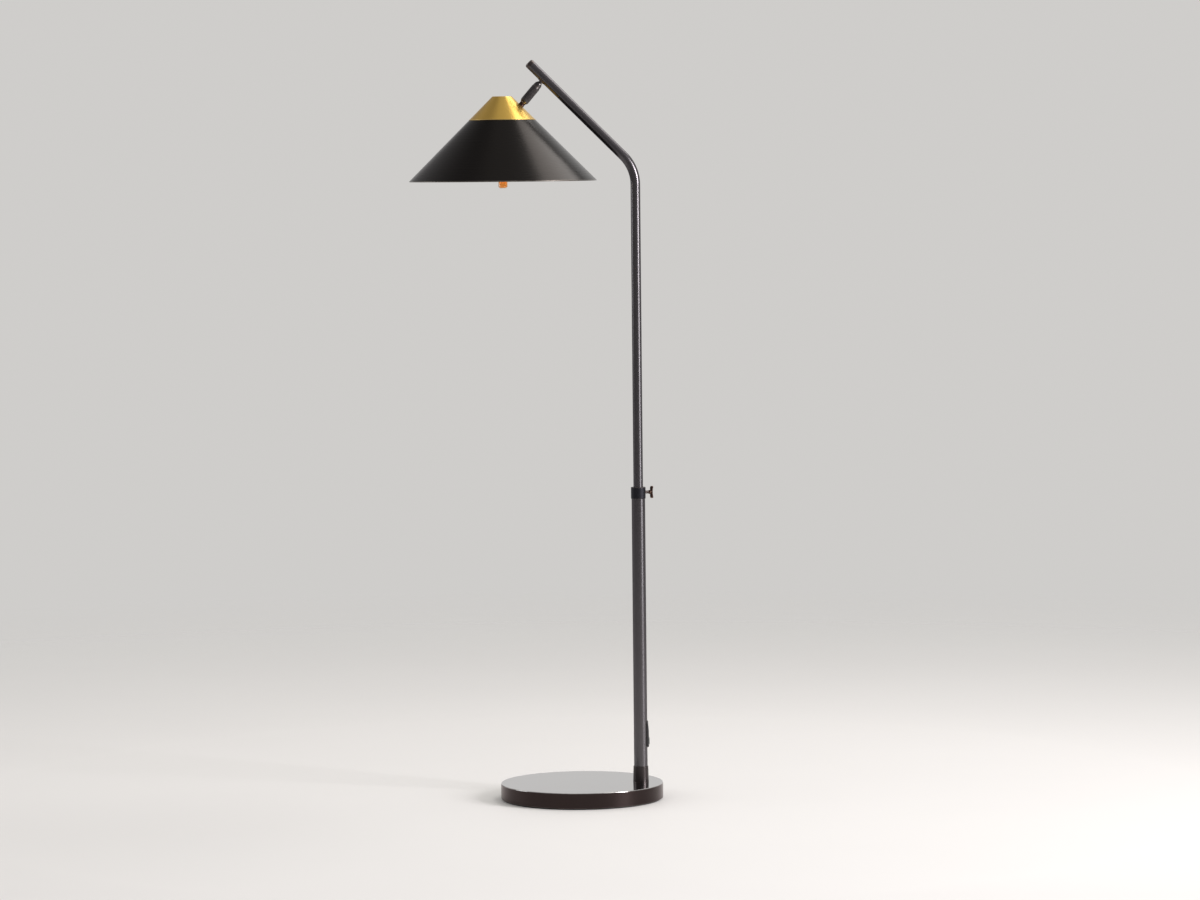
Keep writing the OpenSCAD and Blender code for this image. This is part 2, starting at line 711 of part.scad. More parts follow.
module lamp_socket() color(black) at_head() difference() {
    union() {
        translate([0, 0, holder_top - 10]) cylinder(r1 = holder_d / 2, r2 = holder_d / 2 - 5, h = 10);
        translate([0, 0, holder_end]) cylinder(d = holder_d, h = holder_h - 10);
    }
    // Mouth for the screw shell, wiring space above it and the nipple's hole
    translate([0, 0, holder_end - eps]) cylinder(d = thread_d + 2 * shell_t + 0.4, h = shell_top - holder_end + eps);
    translate([0, 0, -20]) cylinder(r = 9, h = 8.5);
    translate([0, 0, -21]) cylinder(d = nipple_d + 2 * run_gap, h = 30);
    for (side = [-1, 1]) translate([side * 6, 0, -23]) cylinder(d = 2.4, h = 5);
}

// A plain drawn shell with an open window in its floor for the centre contact
module socket_shell() color(brass) at_head() difference() {
    translate([0, 0, holder_end + 1]) cylinder(d = thread_d + 2 * shell_t, h = shell_top - holder_end - 1);
    translate([0, 0, holder_end]) cylinder(d = thread_d, h = shell_top - shell_t - holder_end);
    translate([0, 0, shell_top - 5]) cylinder(r = 9, h = 8);
}

module socket_contact() color(brass) at_head() {
    translate([-2.5, -4, shell_top - 1.6]) cube([5, 8, 0.6]);
    translate([0, 0, shell_top - 2.4]) cylinder(r = 2, h = 1.2);
}

module socket_terminals() color(brass) at_head() for (side = [-1, 1]) translate([side * 6, 0, -22.6])
    cylinder(d = 2.2, h = 7.6);

// Rings of points round a path that lies in a plane square to Y
function path_dir(p, i) =
    let (d = p[min(i + 1, len(p) - 1)] - p[max(i - 1, 0)]) d / norm(d);
function path_ring(p, i, r, sides) =
    let (t = path_dir(p, i), n = [t[2], 0, -t[0]])
    [for (k = [0 : sides - 1]) p[i] + r * cos(k * 360 / sides) * n + r * sin(k * 360 / sides) * [0, 1, 0]];

module wire(p, d, sides = 8) polyhedron(
    points = [for (i = [0 : len(p) - 1]) each path_ring(p, i, d / 2, sides)],
    faces = [
        [for (k = [0 : sides - 1]) k],
        [for (k = [sides - 1 : -1 : 0]) (len(p) - 1) * sides + k],
        for (i = [0 : len(p) - 2], k = [0 : sides - 1])
            [i * sides + k, (i + 1) * sides + k, (i + 1) * sides + (k + 1) % sides, i * sides + (k + 1) % sides]
    ]
);

// A lead from the neck's bore, over the carrier plate and down the nipple to its terminal
function lead_path(side) =
    let (
        out = [cone_r(neck_seat_h), 0, neck_seat_h],
        along = [-cos(pitch_down), 0, -sin(pitch_down)],
        a = out + along * (cap_t - 12),
        b = out + along * (cap_t + 7),
        c = [0, 0, carrier_t + 8],
        e = [0, 0, holder_top - 10],
        f = [side * 4.6, 0, -16]
    )
    concat(
        [a, (a + b) / 2],
        [for (t = [0 : 0.1 : 1]) pow(1 - t, 3) * b + 3 * pow(1 - t, 2) * t * (b + along * 11)
            + 3 * (1 - t) * t * t * (c + [0, 0, 9]) + pow(t, 3) * c],
        [(c + e) / 2, e, (e + f) / 2 + [0, 0, -1], f]
    );

module socket_leads() for (side = [-1, 1]) color(side > 0 ? [0.9, 0.9, 0.88] : [0.1, 0.1, 0.1])
    at_head() translate([0, side * 1.05, 0]) wire(lead_path(side), lead_d);

// ---- Bulb ----

module bulb_base() color(steel) at_head() difference() {
    union() {
        translate([0, 0, bulb_base_end]) cylinder(d1 = bulb_d + 1.2, d2 = thread_d - 0.8, h = 4);
        translate([0, 0, bulb_base_end + 4]) cylinder(d = thread_d - 0.8, h = bulb_base_top - 3 - bulb_base_end - 4);
        translate([0, 0, bulb_base_top - 3]) cylinder(d1 = thread_d - 0.8, d2 = 14, h = 3);
    }
    translate([0, 0, bulb_base_end - eps]) cylinder(d = bulb_d - 1, h = bulb_base_top - 2 - bulb_base_end);
    translate([0, 0, bulb_base_top - 3]) cylinder(r = 4.5, h = 5);
}

module bulb_contact() color(steel) at_head() translate([0, 0, bulb_base_top - 2.8]) {
    cylinder(r = 4.3, h = 2.6);
    translate([0, 0, 2.6]) cylinder(r1 = 3, r2 = 1.8, h = 0.5);
}

// A straight glass tube whose flat end has rounded corners, drawn off mm inside its outer face
module bulb_form(off) {
    r = bulb_d / 2 - off;
    corner = bulb_round - off;
    translate([0, 0, -bulb_reach + off]) rotate_extrude() {
        translate([0, corner]) square([r, bulb_reach + bulb_base_end - 0.1 - off - corner]);
        square([r - corner, 2 * corner]);
        translate([r - corner, corner]) circle(r = corner, $fn = 48);
    }
}

module bulb_glass() color([0.95, 0.55, 0.2, 0.5]) at_head() difference() {
    bulb_form(0);
    bulb_form(glass_t);
    translate([0, 0, bulb_base_end - 2]) cylinder(r = bulb_d / 2 - glass_t, h = 5);
}

module bulb_stem() color([0.9, 0.9, 0.9, 0.6]) at_head() {
    translate([0, 0, bulb_base_end - 14]) cylinder(r1 = 2, r2 = 4, h = 14);
    translate([0, 0, bulb_base_end - 0.5]) cylinder(r = bulb_d / 2 - glass_t - 0.2, h = 6);
}

module bulb_filaments() color([1, 0.75, 0.3]) at_head()
    round_axis(4, filament_at) translate([0, 0, filament_z])
        cylinder(r = 0.8, h = bulb_base_end - 4 - filament_z);

base_pad();
base_plate();
base_plate_screws();
base_weight();
base_cover();
inlet_grommet();
base_nipple();
base_washer();
base_nut();
tube_foot_plug();
pole_sleeve();
lower_tube();
dimmer_module();
dimmer_bezel();
dimmer_screws();
dimmer_slider();
lock_collar();
collar_bush();
clamp_pad();
thumbscrew_stud();
thumbscrew_wing();
guide_bush();
foot_ring();
stop_ring();
upper_tube();
arm_end_cap();
joint_boss();
stem_washer();
stem_nut();
swivel_ball();
swivel_cup();
reeded_barrel();
ball_seat();
disc_springs();
spring_sleeve();
swivel_neck();
neck_washer();
neck_nut();
brass_cap();
cap_lugs();
shade();
shade_screws();
carrier_plate();
socket_nipple();
socket_nut();
lamp_socket();
socket_shell();
socket_contact();
socket_terminals();
socket_leads();
bulb_base();
bulb_contact();
bulb_glass();
bulb_stem();
bulb_filaments();
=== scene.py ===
"""Adjustable arm floor lamp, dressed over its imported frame.

All lengths are in metres in the frame's own axes: the origin is on the floor under the middle of the
round base, +Z is up, the pole stands towards +X and the arm reaches back over the base towards -X.
"""
import json
import math

import bpy
import numpy as np
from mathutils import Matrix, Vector


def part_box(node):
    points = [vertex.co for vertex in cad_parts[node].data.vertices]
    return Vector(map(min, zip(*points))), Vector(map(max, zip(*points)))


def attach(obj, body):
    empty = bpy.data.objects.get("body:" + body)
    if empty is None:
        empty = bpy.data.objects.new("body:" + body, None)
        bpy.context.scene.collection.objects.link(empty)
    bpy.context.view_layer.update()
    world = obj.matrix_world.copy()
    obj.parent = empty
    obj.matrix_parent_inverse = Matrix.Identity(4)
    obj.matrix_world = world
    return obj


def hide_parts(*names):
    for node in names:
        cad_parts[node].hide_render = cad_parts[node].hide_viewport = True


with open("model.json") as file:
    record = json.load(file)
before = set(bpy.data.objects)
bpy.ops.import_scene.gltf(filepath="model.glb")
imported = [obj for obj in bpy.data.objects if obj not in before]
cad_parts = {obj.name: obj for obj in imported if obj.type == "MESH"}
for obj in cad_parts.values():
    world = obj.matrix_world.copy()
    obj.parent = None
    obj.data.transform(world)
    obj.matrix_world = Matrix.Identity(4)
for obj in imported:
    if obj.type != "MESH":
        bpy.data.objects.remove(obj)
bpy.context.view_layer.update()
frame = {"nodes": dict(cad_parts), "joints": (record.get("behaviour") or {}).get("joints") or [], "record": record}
mm = 0.001

# ---- Dark bronze finish ----
# Steel parts are plated, darkened to a brown black and lacquered. The colour clouds a little from place
# to place, high edges rub lighter and browner, and the lacquer holds fine specks.


def add(tree, kind, inputs=None, **settings):
    """A shader node with its settings made and its unlinked sockets filled in by name or number."""
    made = tree.nodes.new(kind)
    for key, value in settings.items():
        setattr(made, key, value)
    for key, value in (inputs or {}).items():
        made.inputs[key].default_value = value
    return made


def effect(name, inputs, outputs):
    """A shader group with named sockets. Each socket is (label, kind) or (label, kind, value)."""
    tree = bpy.data.node_groups.new(name, "ShaderNodeTree")
    for way, sockets in (("INPUT", inputs), ("OUTPUT", outputs)):
        for label, kind, *value in sockets:
            made = tree.interface.new_socket(label, in_out=way, socket_type="NodeSocket" + kind)
            if value:
                made.default_value = value[0]
    return tree, tree.nodes.new("NodeGroupInput"), tree.nodes.new("NodeGroupOutput")


def maths(tree, operation, a, b=None, c=None, clamp=False):
    """A Math node on sockets or plain numbers, given as its output socket."""
    node = add(tree, "ShaderNodeMath", operation=operation, use_clamp=clamp)
    for place, value in enumerate((a, b, c)):
        if isinstance(value, (int, float)):
            node.inputs[place].default_value = value
        elif value is not None:
            tree.links.new(value, node.inputs[place])
    return node.outputs[0]


def blend_colours(tree, share, first, second):
    """A Mix node between two colours, each a socket or a plain colour, given as its output socket."""
    node = add(tree, "ShaderNodeMix", data_type="RGBA")
    tree.links.new(share, node.inputs[0])
    for place, value in ((6, first), (7, second)):
        if isinstance(value, tuple):
            node.inputs[place].default_value = value
        else:
            tree.links.new(value, node.inputs[place])
    return node.outputs[2]


# Clouded colour with lighter rubbed edges, speckled roughness and a height for the lacquer's skin
worn, worn_in, worn_out = effect(
    "rubbed finish",
    [("Colour", "Color"), ("Rubbed", "Color"), ("Clouds", "Float", 9.0), ("Depth", "Float", 0.3),
     ("Wear", "Float", 0.5), ("Roughness", "Float", 0.34), ("Spread", "Float", 0.08)],
    [("Colour", "Color"), ("Roughness", "Float"), ("Height", "Float")])
where = add(worn, "ShaderNodeTexCoord").outputs["Object"]
clouds = add(worn, "ShaderNodeTexNoise", {"Detail": 4.0, "Roughness": 0.6})
worn.links.new(where, clouds.inputs["Vector"])
worn.links.new(worn_in.outputs["Clouds"], clouds.inputs["Scale"])
specks = add(worn, "ShaderNodeTexNoise", {"Scale": 2200.0, "Detail": 2.0})
worn.links.new(where, specks.inputs["Vector"])
edge = add(worn, "ShaderNodeAttribute", attribute_name="edge").outputs["Fac"]
rubs = add(worn, "ShaderNodeTexNoise", {"Scale": 130.0, "Detail": 3.0})
worn.links.new(where, rubs.inputs["Vector"])
cloud = maths(worn, "MULTIPLY_ADD", clouds.outputs[0], 2.4, -0.7, clamp=True)
rubbed = maths(worn, "MULTIPLY", maths(worn, "MULTIPLY", edge, worn_in.outputs["Wear"]),
               maths(worn, "MULTIPLY_ADD", rubs.outputs[0], 1.6, -0.1, clamp=True), clamp=True)
shaded = add(worn, "ShaderNodeMix", data_type="RGBA", blend_type="MULTIPLY")
worn.links.new(maths(worn, "MULTIPLY", cloud, worn_in.outputs["Depth"]), shaded.inputs[0])
worn.links.new(worn_in.outputs["Colour"], shaded.inputs[6])
shaded.inputs[7].default_value = (0.66, 0.62, 0.60, 1)
worn.links.new(blend_colours(worn, rubbed, shaded.outputs[2], worn_in.outputs["Rubbed"]), worn_out.inputs["Colour"])
worn.links.new(
    maths(worn, "ADD", worn_in.outputs["Roughness"],
          maths(worn, "MULTIPLY", worn_in.outputs["Spread"],
                maths(worn, "ADD", maths(worn, "ADD", clouds.outputs[0], specks.outputs[0]), -1.0))),
    worn_out.inputs["Roughness"])
worn.links.new(specks.outputs[0], worn_out.inputs["Height"])


def surface(name, metallic=1.0, **sockets):
    """A material with one Principled shader. sockets are set on the shader itself, by name with _ for a space."""
    made = bpy.data.materials.new(name)
    made.use_nodes = True
    shader = made.node_tree.nodes["Principled BSDF"]
    shader.inputs["Metallic"].default_value = metallic
    for key, value in sockets.items():
        shader.inputs[key.replace("_", " ")].default_value = value
    return made, made.node_tree, shader


def raised(tree, shader, height, strength, distance):
    """A Bump node from a height to the shader's normal."""
    bump = add(tree, "ShaderNodeBump", {"Strength": strength, "Distance": distance})
    tree.links.new(height, bump.inputs["Height"])
    tree.links.new(bump.outputs[0], shader.inputs["Normal"])


def rubbed_finish(name, colour, rubbed_colour, clouds=9.0, depth=0.3, wear=0.5, roughness=0.3, spread=0.05,
                  skin=0.04, **sockets):
    """A plated and lacquered finish: its clouded, rubbed colour and roughness come from the group."""
    made, tree, shader = surface(name, **sockets)
    coat = add(tree, "ShaderNodeGroup", node_tree=worn)
    for key, value in (("Colour", (*colour, 1)), ("Rubbed", (*rubbed_colour, 1)), ("Clouds", clouds),
                       ("Depth", depth), ("Wear", wear), ("Roughness", roughness), ("Spread", spread)):
        coat.inputs[key].default_value = value
    tree.links.new(coat.outputs["Colour"], shader.inputs["Base Color"])
    tree.links.new(coat.outputs["Roughness"], shader.inputs["Roughness"])
    raised(tree, shader, coat.outputs["Height"], skin, 0.02 * mm)
    return made


bronze = rubbed_finish("dark_bronze", (0.058, 0.050, 0.050), (0.20, 0.16, 0.14), metallic=0.95, roughness=0.28)
brown = rubbed_finish("brown_bronze", (0.060, 0.033, 0.026), (0.30, 0.20, 0.15), metallic=0.95, roughness=0.26)
# Painted shade: the base side's bronze is coloured darker than the tubes' and the plain bronze, though it is the same
# finish.
shaded_side_bronze = rubbed_finish("dark_bronze_side_painted_shade", (0.036, 0.026, 0.025), (0.20, 0.17, 0.155), depth=0.2, wear=0.5,
                            metallic=0.95, roughness=0.24, spread=0.02, Specular_Tint=(0.95, 0.9, 0.9, 1))

# ---- Round base ----
# A spun steel cover drawn over a cast weight. Its side has the satin bronze of the tubes, coloured darker as painted
# shade; its top is lapped and lacquered so flat that it mirrors the room, is coloured lighter than the side as
# painted sheen and has a near-white rubbed rim as a painted highlight. A die-cut foam pad is glued underneath.


def guarded(line, closed=False):
    """The same line of points, with one more point 1 mm from each end of every stretch longer than 4 mm."""
    step = np.roll(line, -1, axis=0) - line
    length = np.linalg.norm(step, axis=1)
    if not closed:
        length[-1] = 0
    near = step / np.maximum(length, 1e-9)[:, None] * mm
    rows = np.stack([line, line + near, line + step - near], 1)
    kept = np.stack([length >= 0, length > 4 * mm, length > 4 * mm], 1)
    return rows[kept]


def filleted(corners, closed=False, steps=6):
    """A profile with rounded corners, from rows of (radius, height, fillet). With half the corner's angle a, the
    fillet's arc starts fillet / tan(a) from the corner along each side, and its points are the spherical blend of
    the two spokes from its centre, which lies fillet / sin(a) from the corner along the bisector. Lines longer
    than 4 mm get a point 1 mm from each end, so that wear on an edge stays near it."""
    corners = np.array([(*c, 0.0)[:3] for c in corners], float)
    points, last = corners[:, :2], len(corners) - 1
    out = []
    for k, (p, fillet) in enumerate(zip(points, corners[:, 2])):
        if fillet == 0 or (not closed and k in (0, last)):
            out.append(p[None])
            continue
        u, v = points[k - 1] - p, points[(k + 1) % len(points)] - p
        u, v = u / np.linalg.norm(u), v / np.linalg.norm(v)
        half = math.acos(np.clip(u @ v, -1, 1)) / 2
        centre = p + (u + v) / np.linalg.norm(u + v) * fillet / math.sin(half)
        start, end = p + u * fillet / math.tan(half) - centre, p + v * fillet / math.tan(half) - centre
        sweep = math.pi - 2 * half
        t = np.linspace(0, 1, steps + 1)[:, None]
        out.append(centre + (np.sin((1 - t) * sweep) * start + np.sin(t * sweep) * end) / math.sin(sweep))
    return guarded(np.concatenate(out) * mm, closed)


def turned(profile, foot=(0, 0, 0), up=(0, 0, 1), around=160, bulge=None):
    """A turned surface as rows of points: foot + height * up + radius * (cos(angle) * side + sin(angle) * other).
    bulge(height, angle) is added to the radius, as a grid, for reeds and threads."""
    up = np.asarray(up, float) / np.linalg.norm(up)
    side = np.cross((0, 1, 0) if abs(up[1]) < 0.9 else (1, 0, 0), up)
    side /= np.linalg.norm(side)
    angle = np.linspace(0, 2 * math.pi, around, endpoint=False)
    ring = np.cos(angle)[:, None] * side + np.sin(angle)[:, None] * np.cross(up, side)
    radius = np.repeat(profile[:, :1], around, 1)
    if bulge is not None:
        radius = radius + bulge(profile[:, 1:], angle[None])
    return np.asarray(foot, float) + profile[:, 1, None, None] * up + radius[..., None] * ring[None]


def skin(name, rows, materials, body, nodes=(), slot=None, closed=False, parts=None):
    """One piece from a grid of points. Columns join up all round; rows join up when closed; a row drawn to one
    point becomes a single vertex. The UV map holds turns round the piece and metres along it, and the
    attribute edge is how sharply the profile turns at a row, from 0 at 3 degrees to 1 at 9 degrees and more.
    parts gives each row of faces its place in materials. A grid whose volume comes out negative, as the sum of
    a . (b x c) + a . (c x d) over its faces, is turned the other way out."""
    count, around = rows.shape[:2]
    single = np.ptp(rows, axis=1).max(axis=1) < 1e-9
    held = np.where(single, 1, around)
    first = np.concatenate([[0], np.cumsum(held)[:-1]])
    index = first[:, None] + np.where(single[:, None], 0, np.arange(around))
    points = np.concatenate([r[:n] for r, n in zip(rows, held)])

    low = np.arange(count if closed else count - 1)
    high = (low + 1) % count
    j, k = np.arange(around), (np.arange(around) + 1) % around
    quads = np.stack([index[low][:, j], index[low][:, k], index[high][:, k], index[high][:, j]], -1).reshape(-1, 4)
    step = np.linalg.norm(rows[(np.arange(count) + 1) % count] - rows, axis=2).mean(axis=1)
    along = np.concatenate([[0], np.cumsum(step)])
    turn = np.arange(around + 1) / around
    uv = np.stack(np.broadcast_arrays(
        np.stack([turn[:-1], turn[1:], turn[1:], turn[:-1]], -1)[None],
        np.stack([along[low], along[low], along[low + 1], along[low + 1]], -1)[:, None]), -1).reshape(-1, 4, 2)
    keep = np.ones(quads.shape, bool)
    keep[quads[:, 0] == quads[:, 1], 1] = False
    keep[quads[:, 2] == quads[:, 3], 3] = False
    a, b, c = points[quads[:, 0]], points[quads[:, 1]], points[quads[:, 2]]
    d = points[quads[:, 3]]
    if (np.einsum("ij,ij->i", a, np.cross(b, c)) + np.einsum("ij,ij->i", a, np.cross(c, d))).sum() < 0:
        quads, uv, keep = quads[:, ::-1], uv[:, ::-1], keep[:, ::-1]

    mesh = bpy.data.meshes.new(name)
    mesh.from_pydata(points.tolist(), [], [q[m].tolist() for q, m in zip(quads, keep)])
    mesh.uv_layers.new(name="turns and metres").data.foreach_set("uv", uv[keep].ravel())
    heading = np.diff(np.concatenate([rows, rows[:1]]), axis=0)
    heading /= np.maximum(np.linalg.norm(heading, axis=2, keepdims=True), 1e-12)
    bend = np.arccos(np.clip((heading * np.roll(heading, 1, axis=0)).sum(axis=2), -1, 1)).max(axis=1)
    if not closed:
        bend[[0, -1]] = 0
    mesh.attributes.new("edge", "FLOAT", "POINT").data.foreach_set(
        "value", np.repeat(np.clip(bend / math.radians(6) - 0.5, 0, 1), held))
    for m in materials:
        mesh.materials.append(m)
    if parts is not None:
        mesh.polygons.foreach_set("material_index", np.repeat(parts, around))
    mesh.polygons.foreach_set("use_smooth", np.ones(len(quads), bool))
    mesh.set_sharp_from_angle(angle=math.radians(38))
    mesh.validate()
    piece = bpy.data.objects.new(name, mesh)
    bpy.context.scene.collection.objects.link(piece)
    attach(piece, body)
    if nodes:
        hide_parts(*nodes)
    return piece


def cut(piece, *tools):
    """Takes the tools' shapes out of a piece, applies that to its mesh and removes the tools."""
    for tool in tools:
        taken = piece.modifiers.new("cut", "BOOLEAN")
        taken.operation, taken.solver, taken.object = "DIFFERENCE", "EXACT", tool
    state = bpy.context.evaluated_depsgraph_get()
    mesh = bpy.data.meshes.new_from_object(
        piece.evaluated_get(state), preserve_all_data_layers=True, depsgraph=state)
    piece.modifiers.clear()
    piece.data = mesh
    for tool in tools:
        bpy.data.objects.remove(tool)


def round_tool(foot, up, radius, length):
    """A plain rod to cut a round hole with."""
    rod = turned(np.array([(0, 0), (radius, 0), (radius, length), (0, length)]), foot, up, 48)
    return skin("tool", rod, [], "stand")


def block_tool(low, high):
    """A plain block to cut a slot with: eight corners, six faces."""
    mesh = bpy.data.meshes.new("tool")
    corner = np.array([[(x, y, z) for x in (0, 1)] for z in (0, 1) for y in (0, 1)]).reshape(-1, 3)
    mesh.from_pydata((np.array(low) + corner * (np.array(high) - np.array(low))).tolist(), [],
                     [(0, 2, 3, 1), (4, 5, 7, 6), (0, 1, 5, 4), (2, 6, 7, 3), (0, 4, 6, 2), (1, 3, 7, 5)])
    tool = bpy.data.objects.new("tool", mesh)
    bpy.context.scene.collection.objects.link(tool)
    return tool


cover_low, cover_high = (np.array(c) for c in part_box("base_cover"))
base_r, top_z, skirt_z = cover_high[0] / mm, cover_high[2] / mm, cover_low[2] / mm
cover_wall, cover_round = 1.5, 1.3

# Painted sheen: the top is coloured several times lighter than the side, while its low roughness and coat mirror the
# room for real. Painted highlight: the near-white rubbed colour at high wear draws a bright line round the top's rim.
lit_mirror_top = rubbed_finish(
    "lapped_bronze_top_painted_sheen", (0.19, 0.182, 0.19), (0.7, 0.68, 0.66), clouds=5.0, wear=0.9, roughness=0.05, spread=0.02,
    skin=0.0, Coat_Weight=1.0, Coat_Roughness=0.02)
cover_profile = filleted([
    (0, top_z), (base_r, top_z, cover_round), (base_r, skirt_z, 0.5), (base_r - cover_wall, skirt_z, 0.5),
    (base_r - cover_wall, top_z - cover_wall, 1.0), (0, top_z - cover_wall)])
below_top = (cover_profile[1:, 1] + cover_profile[:-1, 1]) / 2 < (top_z - 1.1) * mm
cover = skin("base_cover_spun", turned(cover_profile, around=256), [lit_mirror_top, shaded_side_bronze], "stand",
             ["base_cover"], "dark_bronze", parts=below_top.astype(int))

inlet_low, inlet_high = (np.array(c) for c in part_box("inlet_grommet"))
inlet_at = (inlet_low + inlet_high) / 2
inlet_flange_r = (inlet_high[2] - inlet_low[2]) / 2 / mm
inlet_hole_r = 4.3
cut(cover, round_tool((inlet_at[0], 0.145, inlet_at[2]), (0, 1, 0), inlet_hole_r * mm, 12 * mm))

# ---- Pad and grommet ----
# The pad is dense black foam, die-cut and glued under the base so that it can't mark a floor. The
# grommet is a soft black moulding, snapped into the hole that the cord comes in by.


def grained(tree, shader, scale, dark, light, **inputs):
    """A noise on Object coordinates that wanders the base colour from dark to light, given as its output socket."""
    noise = add(tree, "ShaderNodeTexNoise", {"Scale": scale, **inputs})
    tree.links.new(add(tree, "ShaderNodeTexCoord").outputs["Object"], noise.inputs["Vector"])
    tree.links.new(blend_colours(tree, noise.outputs[0], (*dark, 1), (*light, 1)), shader.inputs["Base Color"])
    return noise.outputs[0]


rubber, tree, shader = surface("black_rubber", 0.0, Roughness=0.72)
pores = grained(tree, shader, 1400.0, (0.012, 0.012, 0.013), (0.05, 0.049, 0.048), Detail=3.0)
raised(tree, shader, pores, 0.6, 0.2 * mm)

pad_high = np.array(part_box("base_pad")[1]) / mm
skin("foam_pad", turned(filleted([
    (0, pad_high[2]), (pad_high[0], pad_high[2], 0.2), (pad_high[0], 0, 0.5), (0, 0)]), around=192),
    [rubber], "stand", ["base_pad"], "felt_pad")
cord_hole_r, waist_r, wide, deep, lip = 3.2, 4.2, inlet_flange_r, 4.8, 1.3
skin("inlet_grommet_soft", turned(filleted([
    (cord_hole_r, 0, 0.4), (wide, 0, 0.4), (wide, lip, 0.4), (waist_r, lip + 0.1), (waist_r, deep - lip - 0.1),
    (wide, deep - lip, 0.4), (wide, deep, 0.6), (cord_hole_r, deep, 0.8)], closed=True),
    (inlet_at[0], inlet_low[1], inlet_at[2]), (0, 1, 0), 64), [rubber], "stand", ["inlet_grommet"], "felt_pad",
    closed=True)

# ---- Lower pole ----
# One inch steel tube, welded and drawn, with a turned sleeve that covers its joint with the base. A slot
# in the tube's right side takes the dimmer.
drawn, drawn_in, drawn_out = effect(
    "drawn lines", [("Length", "Float", 9.0), ("Fineness", "Float", 240.0)], [("Lines", "Float")])
route = add(drawn, "ShaderNodeSeparateXYZ")
drawn.links.new(add(drawn, "ShaderNodeUVMap", uv_map="turns and metres").outputs[0], route.inputs[0])
stretched = add(drawn, "ShaderNodeCombineXYZ")
drawn.links.new(maths(drawn, "MULTIPLY", route.outputs[0], drawn_in.outputs["Fineness"]), stretched.inputs[0])
drawn.links.new(maths(drawn, "MULTIPLY", route.outputs[1], drawn_in.outputs["Length"]), stretched.inputs[1])
lines = add(drawn, "ShaderNodeTexNoise", {"Scale": 1.0, "Detail": 3.0})
drawn.links.new(stretched.outputs[0], lines.inputs["Vector"])
drawn.links.new(lines.outputs[0], drawn_out.inputs["Lines"])

# Painted sheen: the tubes' bronze is coloured about twice as light as the plain bronze, and its darker edge tint is
# painted shade along their silhouettes.
lit_tube_bronze = rubbed_finish(
    "dark_bronze_tube_painted_sheen", (0.12, 0.113, 0.118), (0.20, 0.17, 0.155), clouds=4.0, depth=0.12, wear=0.5, roughness=0.27,
    spread=0.005, skin=0.0, metallic=0.95, Specular_Tint=(0.55, 0.54, 0.56, 1))
tree = lit_tube_bronze.node_tree
shader = tree.nodes["Principled BSDF"]
along_tube = add(tree, "ShaderNodeGroup", node_tree=drawn)
tree.links.new(maths(tree, "ADD", shader.inputs["Roughness"].links[0].from_socket,
                     maths(tree, "MULTIPLY_ADD", along_tube.outputs[0], 0.012, -0.006)), shader.inputs["Roughness"])

pole_x = sum(c[0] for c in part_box("lower_tube")) / 2
sleeve_low, sleeve_high = (np.array(c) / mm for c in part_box("pole_sleeve"))
tube_low, tube_high = (np.array(c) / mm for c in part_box("lower_tube"))
sleeve_r, tube_r = (sleeve_high[0] - sleeve_low[0]) / 2, (tube_high[0] - tube_low[0]) / 2
tube_wall, sleeve_bore = 1.2, tube_r + 0.1
skin("pole_sleeve_turned", turned(filleted([
    (sleeve_bore, sleeve_low[2], 0.1), (sleeve_r, sleeve_low[2], 0.25), (sleeve_r - 0.78, sleeve_high[2] - 0.8, 0.3),
    (sleeve_r - 1.3, sleeve_high[2], 0.3), (sleeve_bore, sleeve_high[2], 0.2)], closed=True),
    (pole_x, 0, 0)), [bronze], "stand", ["pole_sleeve"], "dark_bronze", closed=True)
lower = skin("lower_tube_drawn", turned(filleted([
    (tube_r - tube_wall, tube_low[2], 0.2), (tube_r, tube_low[2], 0.2), (tube_r, tube_high[2], 0.4),
    (tube_r - tube_wall, tube_high[2], 0.2)], closed=True), (pole_x, 0, 0)),
    [lit_tube_bronze], "stand", ["lower_tube"], "dark_bronze", closed=True)

# ---- Dimmer ----
# A slide dimmer sits inside the tube behind a moulded plate, which thins towards its upper end and is
# held by two small screws. The thumb runs in the plate's slot.
plastic, tree, shader = surface("black_plastic", 0.0, Roughness=0.42)
spark = grained(tree, shader, 2600.0, (0.010, 0.010, 0.011), (0.022, 0.022, 0.023), Detail=2.0)
raised(tree, shader, spark, 0.35, 0.08 * mm)

plate_low, plate_high = (np.array(c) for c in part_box("dimmer_bezel"))
slider_low, slider_high = (np.array(c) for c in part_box("dimmer_slider"))


def moulded_plate(low, high, face, root, thin, rows=56, around=72):
    """A pillow-edged plate as rows up its height z. At share s of the height its half width is that of a round-ended
    outline, w * sqrt(1 - (excess / w)^2) past the straight part; its front stands face metres past root, times the
    taper that runs from 1 to thin over the upper 40 percent; and each row is a rounded rectangle, the
    superellipse of power 5 with |cos|^(2/5) and |sin|^(2/5), a fifth as deep behind root as before it. Both ends
    close by the root of 1 - |2s - 1|^40."""
    half = (high[1] - low[1]) / 2
    t = (1 - np.cos(np.linspace(0, math.pi, rows))) / 2
    z = low[2] + t * (high[2] - low[2])
    past = np.maximum(0, np.maximum(low[2] + half - z, z - high[2] + half))
    wide = half * np.sqrt(np.maximum(0, 1 - (past / half) ** 2))
    taper = 1 - (1 - thin) * np.clip((t - 0.6) / 0.4, 0, 1)
    edge = np.sqrt(np.clip(1 - np.abs(2 * t - 1) ** 40, 0, 1))
    angle = np.linspace(0, 2 * math.pi, around, endpoint=False)
    y = np.sign(np.cos(angle)) * np.abs(np.cos(angle)) ** 0.4
    x = np.sign(np.sin(angle)) * np.abs(np.sin(angle)) ** 0.4
    x = np.where(x < 0, x * 0.2, x)
    grid = np.empty((rows, around, 3))
    grid[..., 0] = root + face * (taper * edge)[:, None] * x
    grid[..., 1] = wide[:, None] * y
    grid[..., 2] = z[:, None]
    return grid


